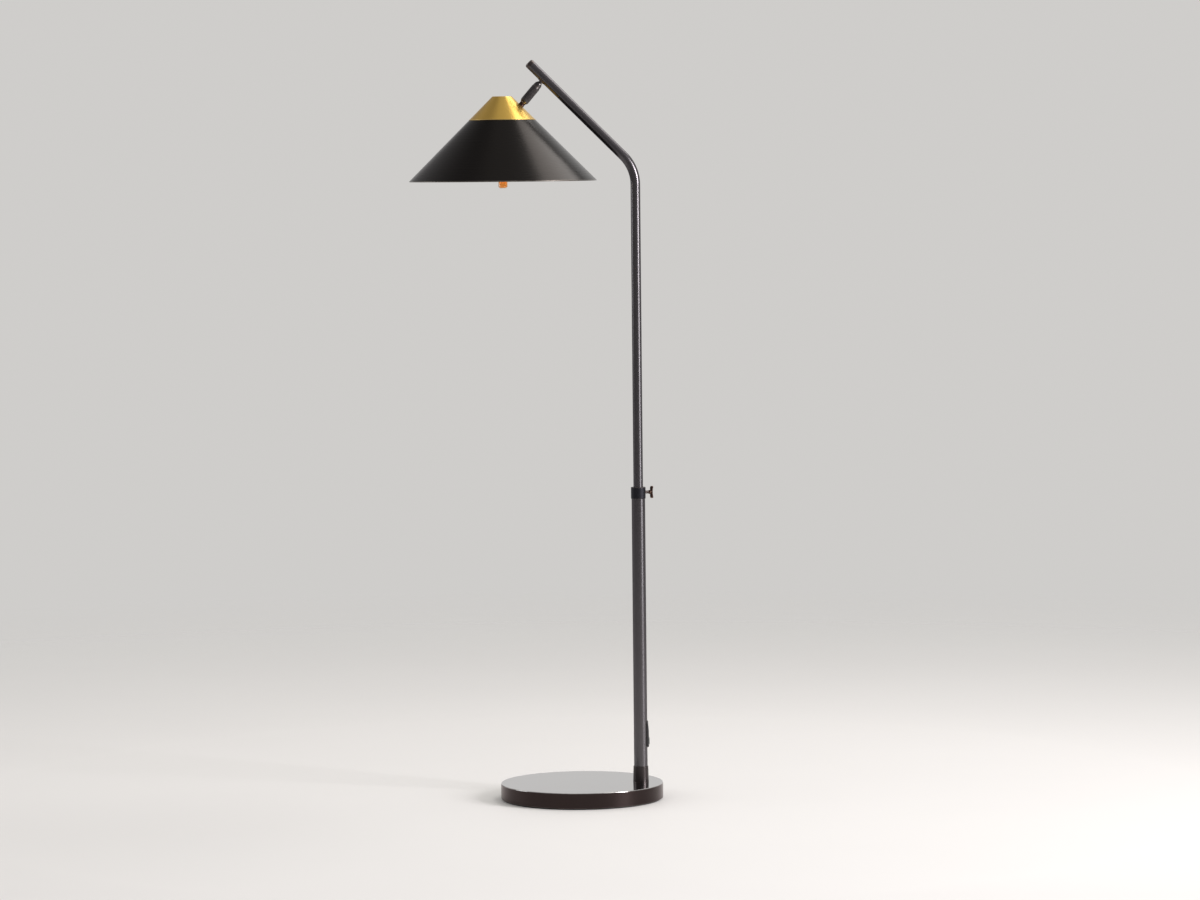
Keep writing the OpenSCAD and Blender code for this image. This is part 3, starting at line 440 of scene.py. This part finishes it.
root = pole_x + tube_r * mm - 0.8 * mm
plate = skin("dimmer_plate", moulded_plate(plate_low, plate_high, plate_high[0] - root, root, 0.55),
             [plastic], "stand", ["dimmer_bezel"], "black_plastic")
slot_half, slot_room, screw_in, screw_hole_r = 1.4 * mm, 1 * mm, 4.5 * mm, 2.4 * mm
slot_low = np.array([pole_x + 8 * mm, -slot_half, slider_low[2] + 3.5 * mm])
slot_high = np.array([pole_x + 20 * mm, slot_half, slider_high[2] + 12.5 * mm])
cut(plate, block_tool(slot_low, slot_high),
    *[round_tool((pole_x + 12.8 * mm, 0, z), (1, 0, 0), screw_hole_r, 8 * mm)
      for z in (plate_low[2] + screw_in, plate_high[2] - screw_in)])
cut(lower, block_tool(slot_low - slot_room, slot_high + slot_room))

# ---- Lock collar and thumbscrew ----
# A turned steel collar, pressed on the lower tube, guides the upper tube in a nylon bush. The thumbscrew
# is a rolled stud with a cast wing, whose two ends flare outwards for the fingers.
collar_low, collar_high = (np.array(c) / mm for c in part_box("lock_collar"))
collar_r = (collar_high[0] - collar_low[0]) / 2
bore_r, bush_r, press_r = 9.1, 11.4, tube_r + 0.05
# Painted shade: the collar's bronze is coloured darker than the plain bronze; its higher roughness is its own matt
# finish.
shaded_collar_bronze = rubbed_finish("shaded_collar_bronze", (0.022, 0.022, 0.027), (0.30, 0.26, 0.23), clouds=30.0, wear=0.9,
                              roughness=0.5, metallic=0.85, skin=0.2)
collar = skin("lock_collar_turned", turned(filleted([
    (press_r, collar_low[2], 0.1), (collar_r - 0.6, collar_low[2], 0.2), (collar_r, collar_low[2] + 1, 0.5),
    (collar_r, collar_high[2] - 0.6, 0.3), (collar_r - 0.5, collar_high[2], 0.25), (bore_r, collar_high[2], 0.25),
    (bore_r, collar_high[2] - 2), (bush_r, collar_high[2] - 2), (bush_r, collar_low[2] + 6),
    (press_r, collar_low[2] + 6)],
    closed=True), (pole_x, 0, 0)), [shaded_collar_bronze], "stand", ["lock_collar"], "dark_bronze", closed=True)

stud_low, stud_high = (np.array(c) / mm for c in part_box("thumbscrew_stud"))
stud_z = (stud_low[2] + stud_high[2]) / 2
stud_r = (stud_high[2] - stud_low[2]) / 2
stud_from, stud_to = stud_low[0] - pole_x / mm, stud_high[0] - pole_x / mm
across = (1, 0, 0)
cut(collar, round_tool((pole_x, 0, stud_z * mm), across, (stud_r + 0.1) * mm, 20 * mm))


def fine_thread(x, angle):
    """A thread of pitch 1 mm, 0.25 deep: 0.25 * |2 * frac(x - turns) - 1|, left off at the stud's two ends."""
    between = (x != x[0]) * (x != x[-1])
    return -0.25 * mm * np.abs(((x / mm - angle / (2 * math.pi)) % 1) * 2 - 1) * between


heights = np.linspace(stud_from, stud_to, 150)
thread = np.stack([np.full(150, stud_r), heights], 1) * mm
skin("thumbscrew_thread", turned(
    np.concatenate([[[0, heights[0] * mm]], thread, [[0, heights[-1] * mm]]]), (pole_x, 0, stud_z * mm), across, 48,
    fine_thread), [bronze], "thumbscrew", ["thumbscrew_stud"], "dark_bronze")

wing_low, wing_high = (np.array(c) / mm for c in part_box("thumbscrew_wing"))
wing_from, wing_to = wing_low[0] - pole_x / mm, wing_high[0] - pole_x / mm


def bow_tie(half, inner, outer, rows=64, around=48):
    """The wing as rows along its length q from -1 to 1. Its outer face is hollow, 1.7 (1 - q^2) inside its ends, and
    its inner face leans outwards by 0.3 q^2. Its half width is 2.75 at the hub and 2.3 near the ends. Thickness and
    width close at the ends by the root of 1 - q^12. A section is a superellipse of power 3."""
    q = np.sin(np.linspace(-math.pi / 2, math.pi / 2, rows))
    close = np.clip(1 - np.abs(q) ** 12, 0, 1) ** 0.5
    front, back = outer - 1.7 * (1 - q ** 2), inner + 0.3 * q ** 2
    thick = (front - back) / 2 * close
    wide = (2.75 - 0.45 * np.abs(q)) * close
    angle = np.linspace(0, 2 * math.pi, around, endpoint=False)
    grid = np.empty((rows, around, 3))
    power = 2 / 3
    middle = (front + back) / 2
    grid[..., 0] = middle[:, None] + thick[:, None] * np.sign(np.cos(angle)) * np.abs(np.cos(angle)) ** power
    grid[..., 1] = wide[:, None] * np.sign(np.sin(angle)) * np.abs(np.sin(angle)) ** power
    grid[..., 2] = (half * q)[:, None]
    return grid * mm


skin("thumbscrew_wing_cast", bow_tie(wing_high[2] - stud_z, wing_from + 2.6, wing_to) +
     (pole_x, 0, stud_z * mm), [brown], "thumbscrew", ["thumbscrew_wing"], "dark_bronze")
skin("thumbscrew_hub", turned(filleted([
    (0, wing_from), (3.4, wing_from, 0.3), (4.3, wing_from + 4, 0.9), (2.5, wing_from + 5.5, 1.0),
    (0, wing_from + 6)]),
    (pole_x, 0, stud_z * mm), across, 64), [brown], "thumbscrew", slot="dark_bronze")

# ---- Upper tube ----
# One length of drawn steel tube, bent on a mandrel through 45 degrees. The arm's end is closed with a
# turned plug whose edge is rounded over.
arm = {"r": 9.0, "wall": 1.2, "bend": 76.0, "lean": math.radians(45), "length": 247.5, "plug": 7.56, "round": 3.78}
tube_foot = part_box("upper_tube")[0][2]
bend_foot = 1153.5 * mm
out = np.array([math.cos(arm["lean"]), 0, math.sin(arm["lean"])])
up_arm = np.array([-math.sin(arm["lean"]), 0, math.cos(arm["lean"])])
bend_centre = np.array([pole_x - arm["bend"] * mm, 0, bend_foot])
arm_start = bend_centre + arm["bend"] * mm * out


def bent_path():
    """Points down the tube's middle and the outward direction at each: straight up the pole, round the bend at its
    radius from the bend's centre, then straight up the arm."""
    turn = np.linspace(0, arm["lean"], 49)[:, None]
    spoke = np.concatenate([np.cos(turn), 0 * turn, np.sin(turn)], 1)
    rise = guarded(np.array([[tube_foot], [(tube_foot + bend_foot) / 2], [bend_foot]]))[:-1]
    reach = guarded(np.array([[0.0], [arm["length"] / 2], [arm["length"] - arm["plug"]]]) * mm)[1:]
    middle = np.concatenate([
        np.concatenate([0 * rise + pole_x, 0 * rise, rise], 1),
        bend_centre + arm["bend"] * mm * spoke,
        arm_start + reach * up_arm])
    outward = np.concatenate([np.repeat(spoke[:1], len(rise), 0), spoke, np.repeat(spoke[-1:], len(reach), 0)])
    return middle, outward


def bent_wall(radius, around=96):
    """A circle carried along the path: middle + radius * (cos(angle) * outward + sin(angle) * Y)."""
    middle, outward = bent_path()
    angle = np.linspace(0, 2 * math.pi, around, endpoint=False)[None, :, None]
    return middle[:, None] + radius * mm * (np.cos(angle) * outward[:, None] + np.sin(angle) * np.array([0, 1.0, 0]))


skin("upper_tube_bent", np.concatenate([bent_wall(arm["r"]), bent_wall(arm["r"] - arm["wall"])[::-1]]),
     [lit_tube_bronze], "upper_pole", ["upper_tube"], "dark_bronze", closed=True)
skin("arm_end_plug", turned(filleted([
    (0, -8), (7.7, -8, 0.5), (7.7, 0), (arm["r"], 0), (arm["r"], arm["plug"], arm["round"]),
    (0, arm["plug"])]),
    arm_start + (arm["length"] - arm["plug"]) * mm * up_arm, up_arm, 96),
    [bronze], "upper_pole", ["arm_end_cap"], "dark_bronze")

# ---- Head joint ----
# A boss brazed under the arm holds a polished ball on a hollow stem. A cup screwed into the reeded
# barrel closes round the ball, and a brown turned neck joins the barrel to the cap.
joints = {j["name"]: j for j in frame["joints"]}
ball_at = np.array(joints["head_tilt"]["pos_m"])
ball_r, stem_r, stem_end, ball_drop = 6, 3.6, 10.6, 16
to_boss = -out
arm_at_boss = ball_at - ball_drop * mm * to_boss
along = np.array(joints["head_turn"]["axis"])


def brazed_boss(around=96):
    """The boss with its fillet of braze. A point at radius p and angle a stands sqrt(9^2 - (p sin a)^2) off the
    arm's middle where it meets the tube, plus the fillet's height, 1.3 * (1 - s)^2 with s from 0 at the boss to 1
    at the fillet's foot."""
    angle = np.linspace(0, 2 * math.pi, around, endpoint=False)
    s = np.linspace(0, 1, 9)
    p = np.concatenate([[3.65, 3.65, 5.2, 5.5], 5.5 + 1.9 * s, [7.4, 5.0]])
    tube_at = np.sqrt(arm["r"] ** 2 - (p[:, None] * np.sin(angle)) ** 2)
    t = np.empty((len(p), around))
    t[0], t[1], t[2], t[3] = 5.9, 10, 10, 9.75
    t[4:13] = np.minimum(tube_at[4:13] + 1.3 * (1 - s)[:, None] ** 2 + 0.02, 9.7)
    t[13] = tube_at[13] - 0.8
    t[14] = 5.9
    grid = np.empty((len(p), around, 3))
    across_arm, down_arm = np.array([0, 1.0, 0]), -up_arm
    spoke = np.sin(angle)[:, None] * across_arm + np.cos(angle)[:, None] * down_arm
    grid[:] = arm_at_boss + t[..., None] * mm * to_boss + p[:, None, None] * mm * spoke
    return grid


skin("joint_boss_brazed", brazed_boss(), [bronze], "upper_pole", ["joint_boss"], "dark_bronze", closed=True)
ball_finish = rubbed_finish("polished_ball", (0.13, 0.12, 0.115), (0.3, 0.27, 0.25), clouds=60.0, wear=0.0,
                            roughness=0.14, spread=0.02)
# Painted highlight: the barrel and cup are coloured lighter than the plain bronze, to give the light stripe along the
# barrel.
lit_barrel_bronze = rubbed_finish("lit_barrel_bronze", (0.095, 0.087, 0.087), (0.26, 0.23, 0.20), clouds=40.0, wear=0.6,
                              metallic=0.95, roughness=0.38)
swing = np.linspace(math.asin(stem_r / ball_r), math.pi, 40)
skin("swivel_ball_turned", turned(np.concatenate([
    [(0, stem_end)], [(stem_r, stem_end)], ball_r * np.stack([np.sin(swing), np.cos(swing)], 1)]) * mm,
    ball_at, -to_boss, 96),
    [ball_finish], "ball", ["swivel_ball"], "polished_ball")
skin("swivel_cup_turned", turned(filleted([
    (6.1, -1.5, 0.15), (6.55, -1.5, 0.2), (7.55, 5.0, 0.3), (6.9, 5.0), (6.9, 17), (6.05, 17), (6.05, 0)],
    closed=True),
    ball_at, along, 96), [lit_barrel_bronze], "barrel", ["swivel_cup"], "dark_bronze", closed=True)


def reeds(z, angle):
    """Twenty-four grooves along the barrel, 0.35 deep, each the cosine's upper half to the power 1.5, faded out over
    the last 3 mm at both ends of the reeded length."""
    share = np.clip((z / mm - 9.5) / 3, 0, 1) * np.clip((39 - z / mm) / 3, 0, 1)
    return -0.35 * mm * share * np.maximum(0, np.cos(24 * angle)) ** 1.5


barrel_r, barrel_from, barrel_to = 8, 5.1, 44.3
barrel_profile = filleted([
    (7.0, barrel_from), (7.2, barrel_from, 0.15), (barrel_r, barrel_from + 3, 1.2), (barrel_r, barrel_to - 4, 1.5),
    (6, barrel_to, 0.3), (4, barrel_to)])
straight = np.stack([np.full(40, barrel_r * mm), np.linspace(10, 38.2, 40) * mm], 1)
split = int(np.argmax(barrel_profile[:, 1] > 20 * mm))
barrel_profile = np.concatenate([
    barrel_profile[:split], straight, barrel_profile[split:], [[4 * mm, barrel_from * mm]]])
skin("reeded_barrel_turned", turned(barrel_profile, ball_at, along, 288, reeds),
     [lit_barrel_bronze], "barrel", ["reeded_barrel"], "dark_bronze", closed=True)
neck_r, waist, neck_from, neck_to = 5.5, 5.15, 44.4, 51.4
skin("swivel_neck_turned", turned(filleted([
    (0, neck_from), (neck_r, neck_from, 0.3), (neck_r, 45.6, 0.3), (waist, 46.0, 0.3), (waist, 48.4, 0.4),
    (neck_r, 49.2, 0.3), (neck_r, neck_to), (0, neck_to)]),
    ball_at, along, 96), [brown], "head", ["swivel_neck"], "brown_bronze")

# ---- Brass cap ----
# Spun brass, trimmed with a rolled lip, brushed in rings while it turns and then lacquered.
rings, rings_in, rings_out = effect(
    "turning rings", [("Vector", "Vector"), ("Pitch", "Float", 0.0004)], [("Rings", "Float")])
parted = add(rings, "ShaderNodeSeparateXYZ")
rings.links.new(rings_in.outputs["Vector"], parted.inputs[0])
distance = maths(rings, "SQRT", maths(rings, "ADD", maths(rings, "MULTIPLY", parted.outputs[0], parted.outputs[0]),
                                     maths(rings, "MULTIPLY", parted.outputs[1], parted.outputs[1])))
place = maths(rings, "DIVIDE", maths(rings, "SUBTRACT", distance, parted.outputs[2]), rings_in.outputs["Pitch"])
band = add(rings, "ShaderNodeTexNoise", {"Scale": 1.0, "Detail": 3.0}, noise_dimensions="1D")
rings.links.new(place, band.inputs["W"])
rings.links.new(band.outputs[0], rings_out.inputs["Rings"])

shade_low, shade_high = (np.array(c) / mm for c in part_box("shade"))
head_x, head_z = (shade_low[0] + shade_high[0]) / 2, shade_high[2]
head = (head_x * mm, 0, head_z * mm)
plumb = (0, 0, 1)


def turning_marks(made, strength, pitch):
    """Rings round the head's axis, as height and as a little more or less roughness."""
    tree = made.node_tree
    shader = tree.nodes["Principled BSDF"]
    shift = add(tree, "ShaderNodeMapping")
    shift.inputs["Location"].default_value = tuple(-c for c in head)
    tree.links.new(add(tree, "ShaderNodeTexCoord").outputs["Object"], shift.inputs["Vector"])
    marks = add(tree, "ShaderNodeGroup", {"Pitch": pitch}, node_tree=rings)
    tree.links.new(shift.outputs[0], marks.inputs["Vector"])
    raised(tree, shader, marks.outputs["Rings"], strength, 0.05 * mm)
    rough = shader.inputs["Roughness"].links[0].from_socket
    tree.links.new(maths(tree, "ADD", rough, maths(tree, "MULTIPLY_ADD", marks.outputs["Rings"], 0.05, -0.025)),
                   shader.inputs["Roughness"])
    return made


def brushed_round(made, amount):
    """Highlights drawn out square to the brushing, which follows the turns of the UV map."""
    tree = made.node_tree
    shader = tree.nodes["Principled BSDF"]
    shader.inputs["Anisotropic"].default_value = amount
    shader.inputs["Anisotropic Rotation"].default_value = 0.25
    way = add(tree, "ShaderNodeTangent", direction_type="UV_MAP", uv_map="turns and metres")
    tree.links.new(way.outputs[0], shader.inputs["Tangent"])
    return made


brass = brushed_round(turning_marks(rubbed_finish(
    "satin_brass", (0.74, 0.48, 0.11), (0.95, 0.72, 0.32), clouds=14.0, depth=0.1, wear=0.7, roughness=0.33,
    spread=0.02, skin=0.0), 0.006, 0.002), 0.3)
cap_h, cap_wall, cap_top_r, lip_r, lip_h = 44, 1.2, 18, 62.55, 1.15
cap_profile = filleted([
    (0, cap_h), (cap_top_r, cap_h, 3), (60.9, lip_h, 0.2), (61.9, lip_h, 0.35), (lip_r, 0.05, 0.25),
    (60.4, 0.05, 0.2), (cap_top_r - 0.4, cap_h - cap_wall, 1.8), (0, cap_h - cap_wall)])
skin("brass_cap_spun", turned(cap_profile, head, plumb, 256), [brass], "head", ["brass_cap"], "satin_brass")

# ---- Shade ----
# A cone of spun aluminium, dark bronze outside and soft white enamel inside, with an in-turned flange
# under the cap and a bead rolled over a wire round the rim.
shade_bronze = brushed_round(turning_marks(rubbed_finish(
    "shade_bronze", (0.022, 0.0195, 0.018), (0.28, 0.25, 0.22), clouds=5.0, depth=0.15, wear=0.6, roughness=0.28,
    spread=0.01, skin=0.0, metallic=0.97), 0.012, 0.002), 0.35)
enamel, tree, shader = surface("white_enamel", 0.0, Roughness=0.38, Coat_Weight=0.3, Coat_Roughness=0.2)
peel = grained(tree, shader, 420.0, (0.80, 0.785, 0.74), (0.86, 0.85, 0.81), Detail=2.0)
raised(tree, shader, peel, 0.15, 0.1 * mm)

rim_r, top_r, sheet, flange_r = (shade_high[0] - shade_low[0]) / 2, 62.0, 0.8, 42
bead, proud, bead_steps = 0.9, 0.1, 25
slope = math.sqrt(0.5)
bead_r = rim_r - bead
bead_z = -((bead_r - top_r) * slope + bead - proud) / slope
roll = np.radians(np.linspace(72, -225, 28))
round_rim = np.stack([bead_r + bead * np.cos(roll), bead_z + bead * np.sin(roll)], 1)
outside = np.concatenate([
    filleted([(top_r - 4, 0), (top_r, 0, 0.5), round_rim[0]])[:-1], round_rim[:bead_steps] * mm])
inside = np.concatenate([round_rim[bead_steps:-1] * mm, filleted([
    round_rim[-1], (top_r - 0.33, -sheet, 0.5), (flange_r, -sheet, 0.2), (flange_r, 0, 0.2), (flange_r + 1, 0)])])
shade_profile = np.concatenate([outside, inside])
enamelled = (np.arange(len(shade_profile)) >= len(outside)).astype(int)
skin("shade_spun", turned(shade_profile, head, plumb, 288), [shade_bronze, enamel], "head", ["shade"], "shade_bronze",
     closed=True, parts=enamelled)

# ---- Lamp holder ----
# A black phenolic moulding, stepped in at its upper end and screwed to the steel carrier plate by a
# hollow stud.
phenolic, tree, shader = surface("phenolic", 0.0, Roughness=0.3)
flow = grained(tree, shader, 60.0, (0.010, 0.009, 0.0085), (0.030, 0.026, 0.023), Detail=4.0, Distortion=1.5)
raised(tree, shader, flow, 0.08, 0.1 * mm)
holder_low, holder_high = (np.array(c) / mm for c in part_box("lamp_socket"))
holder_r, mouth, holder_top = (holder_high[0] - holder_low[0]) / 2, holder_low[2] - head_z, holder_high[2] - head_z
holder_profile = filleted([
    (5.1, holder_top), (holder_r - 5, holder_top, 0.8), (holder_r, holder_top - 10, 0.8), (holder_r, mouth + 20),
    (holder_r, mouth + 4), (holder_r, mouth, 0.8), (14.2, mouth, 0.4), (14.2, -22), (9.0, -22), (9.0, -13),
    (5.1, -12)],
    closed=True)
skin("lamp_holder_moulded", turned(holder_profile, head, plumb, 216), [phenolic], "head", ["lamp_socket"], "phenolic",
     closed=True)

# ---- Bulb ----
# A tubular bulb in amber glass on a nickel-plated screw cap, with four filament strips round a clear
# stem. The cap's thread is rolled from thin sheet.
nickel, tree, shader = surface("bulb_nickel", Roughness=0.25)
dull = grained(tree, shader, 240.0, (0.52, 0.51, 0.49), (0.70, 0.69, 0.66), Detail=3.0)
tree.links.new(maths(tree, "MULTIPLY_ADD", dull, 0.2, 0.16), shader.inputs["Roughness"])

amber, tree, shader = surface("amber_glass", 0.0, Roughness=0.02, IOR=1.5, Transmission_Weight=1.0)
grained(tree, shader, 30.0, (0.93, 0.50, 0.18), (0.97, 0.58, 0.24), Detail=2.0)

clear, tree, shader = surface("clear_glass", 0.0, Roughness=0.04, IOR=1.5, Transmission_Weight=1.0)
grained(tree, shader, 300.0, (0.90, 0.93, 0.93), (0.97, 0.98, 0.97), Detail=2.0)

glass_low, glass_high = (np.array(c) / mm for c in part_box("bulb_glass"))
bulb_r, tip_z = (glass_high[0] - glass_low[0]) / 2, glass_low[2] - head_z
glass_top, glass_wall = glass_high[2] - head_z, 1
cap_low, cap_high = (np.array(c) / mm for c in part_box("bulb_base"))
screw_from, screw_to, screw_r = cap_low[2] - head_z, cap_high[2] - head_z, (cap_high[0] - cap_low[0]) / 2
skin("bulb_glass_blown", turned(filleted([
    (0, tip_z), (bulb_r, tip_z, 4), (bulb_r, glass_top, 0.4), (bulb_r - glass_wall, glass_top, 0.4),
    (bulb_r - glass_wall, tip_z + glass_wall, 3), (0, tip_z + glass_wall)], steps=14), head, plumb, 96),
    [amber], "head", ["bulb_glass"], "amber_glass")


def edison_thread(z, angle):
    """A rolled thread of pitch 3.6 mm, 0.7 deep: 0.35 * (cos(2 pi z / pitch - angle) - 1), faded at both ends."""
    share = np.clip((z / mm - screw_from - 3.5) / 1.5, 0, 1) * np.clip((screw_to - 3.5 - z / mm) / 1.5, 0, 1)
    return 0.35 * mm * share * (np.cos(2 * math.pi * z / (3.6 * mm) - angle) - 1)


shell = np.linspace(screw_from + 4, screw_to - 3, 90)
skin("bulb_cap_rolled", turned(np.concatenate([
    filleted([(bulb_r - 0.5, screw_from), (bulb_r + 0.6, screw_from, 0.3), (screw_r, screw_from + 4)])[:-1],
    np.stack([np.full(90, screw_r), shell], 1) * mm,
    filleted([(screw_r, screw_to - 3), (7.0, screw_to, 0.5), (4.5, screw_to - 0.1), (4.5, screw_to - 1),
              (bulb_r - 0.5, screw_to - 4)])[1:]]),
    head, plumb, 96, edison_thread), [nickel], "head", ["bulb_base"], "bulb_nickel", closed=True)

# ---- Pieces kept from the frame ----
# The small fastenings and inner pieces keep their exact shapes: zinc-plated and raw steel, cast iron,
# brass, nylon, braided leads and the filaments, which carry a faint painted glow.


def mixed_surface(name, dark, light, scale, metallic, roughness, bump, **sockets):
    """A plain finish whose colour and roughness wander between two values with a noise on Object coordinates."""
    made, tree, shader = surface(name, metallic, **sockets)
    noise = grained(tree, shader, scale, dark, light, Detail=4.0)
    tree.links.new(maths(tree, "MULTIPLY_ADD", noise, 0.2, roughness - 0.1), shader.inputs["Roughness"])
    raised(tree, shader, noise, bump, 0.2 * mm)
    return made


# Painted glow: the filaments give off a faint orange light of their own inside the amber glass.
filament = mixed_surface("filament", (0.85, 0.50, 0.16), (0.95, 0.66, 0.25), 900.0, 0.0, 0.5, 0.1,
                         Emission_Color=(1.0, 0.42, 0.10, 1), Emission_Strength=0.6)
kept = {
    "zinc_steel": mixed_surface("zinc_steel", (0.42, 0.43, 0.44), (0.60, 0.60, 0.59), 160.0, 1.0, 0.34, 0.1),
    "raw_iron": mixed_surface("raw_iron", (0.025, 0.024, 0.024), (0.07, 0.066, 0.064), 300.0, 0.4, 0.7, 0.8),
    "plain_brass": mixed_surface("plain_brass", (0.56, 0.38, 0.14), (0.76, 0.57, 0.26), 200.0, 1.0, 0.3, 0.1),
    "black_screw": mixed_surface("black_screw", (0.02, 0.02, 0.022), (0.05, 0.048, 0.046), 400.0, 0.8, 0.4, 0.1),
    "nylon": mixed_surface("nylon", (0.62, 0.60, 0.54), (0.78, 0.77, 0.72), 120.0, 0.0, 0.45, 0.1),
    "lead_insulation": mixed_surface(
        "lead_insulation", (0.02, 0.02, 0.02), (0.09, 0.088, 0.085), 1200.0, 0.0, 0.75, 0.9),
    "bulb_insulator": mixed_surface(
        "bulb_insulator", (0.02, 0.02, 0.024), (0.06, 0.06, 0.066), 260.0, 0.0, 0.2, 0.1),
    "filament": filament,
    "dark_bronze": bronze, "shade_bronze": shade_bronze, "brown_bronze": brown, "polished_ball": ball_finish,
    "satin_brass": brass, "felt_pad": rubber, "black_plastic": plastic, "phenolic": phenolic,
    "bulb_nickel": nickel, "amber_glass": amber, "clear_glass": clear,
}
for part in frame["record"]["subparts"]:
    mesh = frame["nodes"][part["node"]].data
    mesh.materials.clear()
    mesh.materials.append(kept[part["material_slot"]])

# ---- Room ----
# A pale floor that fades into the pale surroundings, two soft lights one over the other to the right of
# the lamp, a weak one to its left and one above. What the metal mirrors is darker towards the front.
floor_mesh = bpy.data.meshes.new("floor")
ring = np.linspace(0, 2 * math.pi, 128, endpoint=False)
floor_mesh.from_pydata((np.stack([np.cos(ring), np.sin(ring), 0 * ring], 1) * 30).tolist(), [], [list(range(128))])
floor = bpy.data.objects.new("floor", floor_mesh)
bpy.context.scene.collection.objects.link(floor)
ground, tree, shader = surface("pale_floor", 0.0, Roughness=0.6)
haze = add(tree, "ShaderNodeTexNoise", {"Scale": 1.3, "Detail": 3.0})
where = add(tree, "ShaderNodeTexCoord").outputs["Object"]
tree.links.new(where, haze.inputs["Vector"])
tree.links.new(blend_colours(tree, haze.outputs[0], (0.77, 0.755, 0.735, 1), (0.81, 0.795, 0.775, 1)),
               shader.inputs["Base Color"])
far = add(tree, "ShaderNodeVectorMath", operation="LENGTH")
tree.links.new(where, far.inputs[0])
fade_from, fade_over = 1.2, 2.8
faded = maths(tree, "DIVIDE", maths(tree, "SUBTRACT", far.outputs["Value"], fade_from), fade_over, clamp=True)
tree.links.new(maths(tree, "SUBTRACT", 1.0, faded, clamp=True), shader.inputs["Alpha"])
floor_mesh.materials.append(ground)

world = bpy.data.worlds.new("studio")
world.use_nodes = True
sky = world.node_tree
pale = sky.nodes["Background"]
pale.inputs[0].default_value, pale.inputs[1].default_value = (0.80, 0.785, 0.765, 1), 0.78
mirrored = add(sky, "ShaderNodeBackground")
heading = add(sky, "ShaderNodeSeparateXYZ")
sky.links.new(add(sky, "ShaderNodeTexCoord").outputs["Generated"], heading.inputs[0])
height = maths(sky, "MULTIPLY_ADD", heading.outputs[2], 0.6, heading.outputs[1])
behind = add(sky, "ShaderNodeMapRange", {"From Min": -0.2, "From Max": 1.0}, interpolation_type="SMOOTHSTEP")
sky.links.new(height, behind.inputs["Value"])
beside = maths(sky, "ABSOLUTE", maths(sky, "ADD", heading.outputs[0], 0.42))
flag = add(sky, "ShaderNodeMapRange", {"From Min": 0.05, "From Max": 0.32, "To Min": 0.1, "To Max": 1.0},
           interpolation_type="SMOOTHSTEP")
sky.links.new(beside, flag.inputs["Value"])
lit = maths(sky, "MULTIPLY", behind.outputs[0], flag.outputs[0])
sky.links.new(blend_colours(sky, lit, (0.23, 0.22, 0.225, 1), (0.68, 0.67, 0.66, 1)), mirrored.inputs[0])
chosen = add(sky, "ShaderNodeMixShader")
sky.links.new(add(sky, "ShaderNodeLightPath").outputs["Is Glossy Ray"], chosen.inputs[0])
sky.links.new(pale.outputs[0], chosen.inputs[1])
sky.links.new(mirrored.outputs[0], chosen.inputs[2])
sky.links.new(chosen.outputs[0], sky.nodes["World Output"].inputs["Surface"])
bpy.context.scene.world = world


def soft_light(name, at, to, wide, tall, radiance, colour):
    """A rectangular area light that faces a point. Its power is pi times its area times its radiance."""
    lamp = bpy.data.lights.new(name, "AREA")
    lamp.shape, lamp.size, lamp.size_y, lamp.color = "RECTANGLE", wide, tall, colour
    lamp.energy = math.pi * wide * tall * radiance
    light = bpy.data.objects.new(name, lamp)
    light.location = at
    light.rotation_euler = Vector(np.array(to, float) - np.array(at, float)).to_track_quat("-Z", "Y").to_euler()
    light.visible_camera = False
    bpy.context.scene.collection.objects.link(light)


soft_light("right strip, upper", (4.5, -2.4, 2.3), (0.05, 0, 1.3), 1.3, 2.2, 30, (1.0, 0.97, 1.0))
soft_light("right strip, lower", (4.5, -2.4, 0.55), (0.05, 0, 0.5), 1.3, 1.1, 7, (0.96, 0.98, 1.0))
soft_light("left panel", (-4.8, 0.6, 1.8), (0, 0, 1.1), 2.0, 1.8, 3.0, (0.94, 0.98, 1.0))
soft_light("high panel", (1.15, 0.75, 3.0), (-0.1, 0, 1.2), 1.3, 1.3, 4.0, (1.0, 0.97, 0.94))

camera = bpy.data.cameras.new("camera")
camera.lens, camera.sensor_width = 135, 36
viewer = bpy.data.objects.new("camera", camera)
viewer.location = (0.0457, -8.414, 1.2176)
viewer.rotation_euler = (math.radians(86.19), math.radians(0.58), 0)
bpy.context.scene.collection.objects.link(viewer)
bpy.context.scene.camera = viewer
bpy.context.scene.view_settings.view_transform = "Standard"
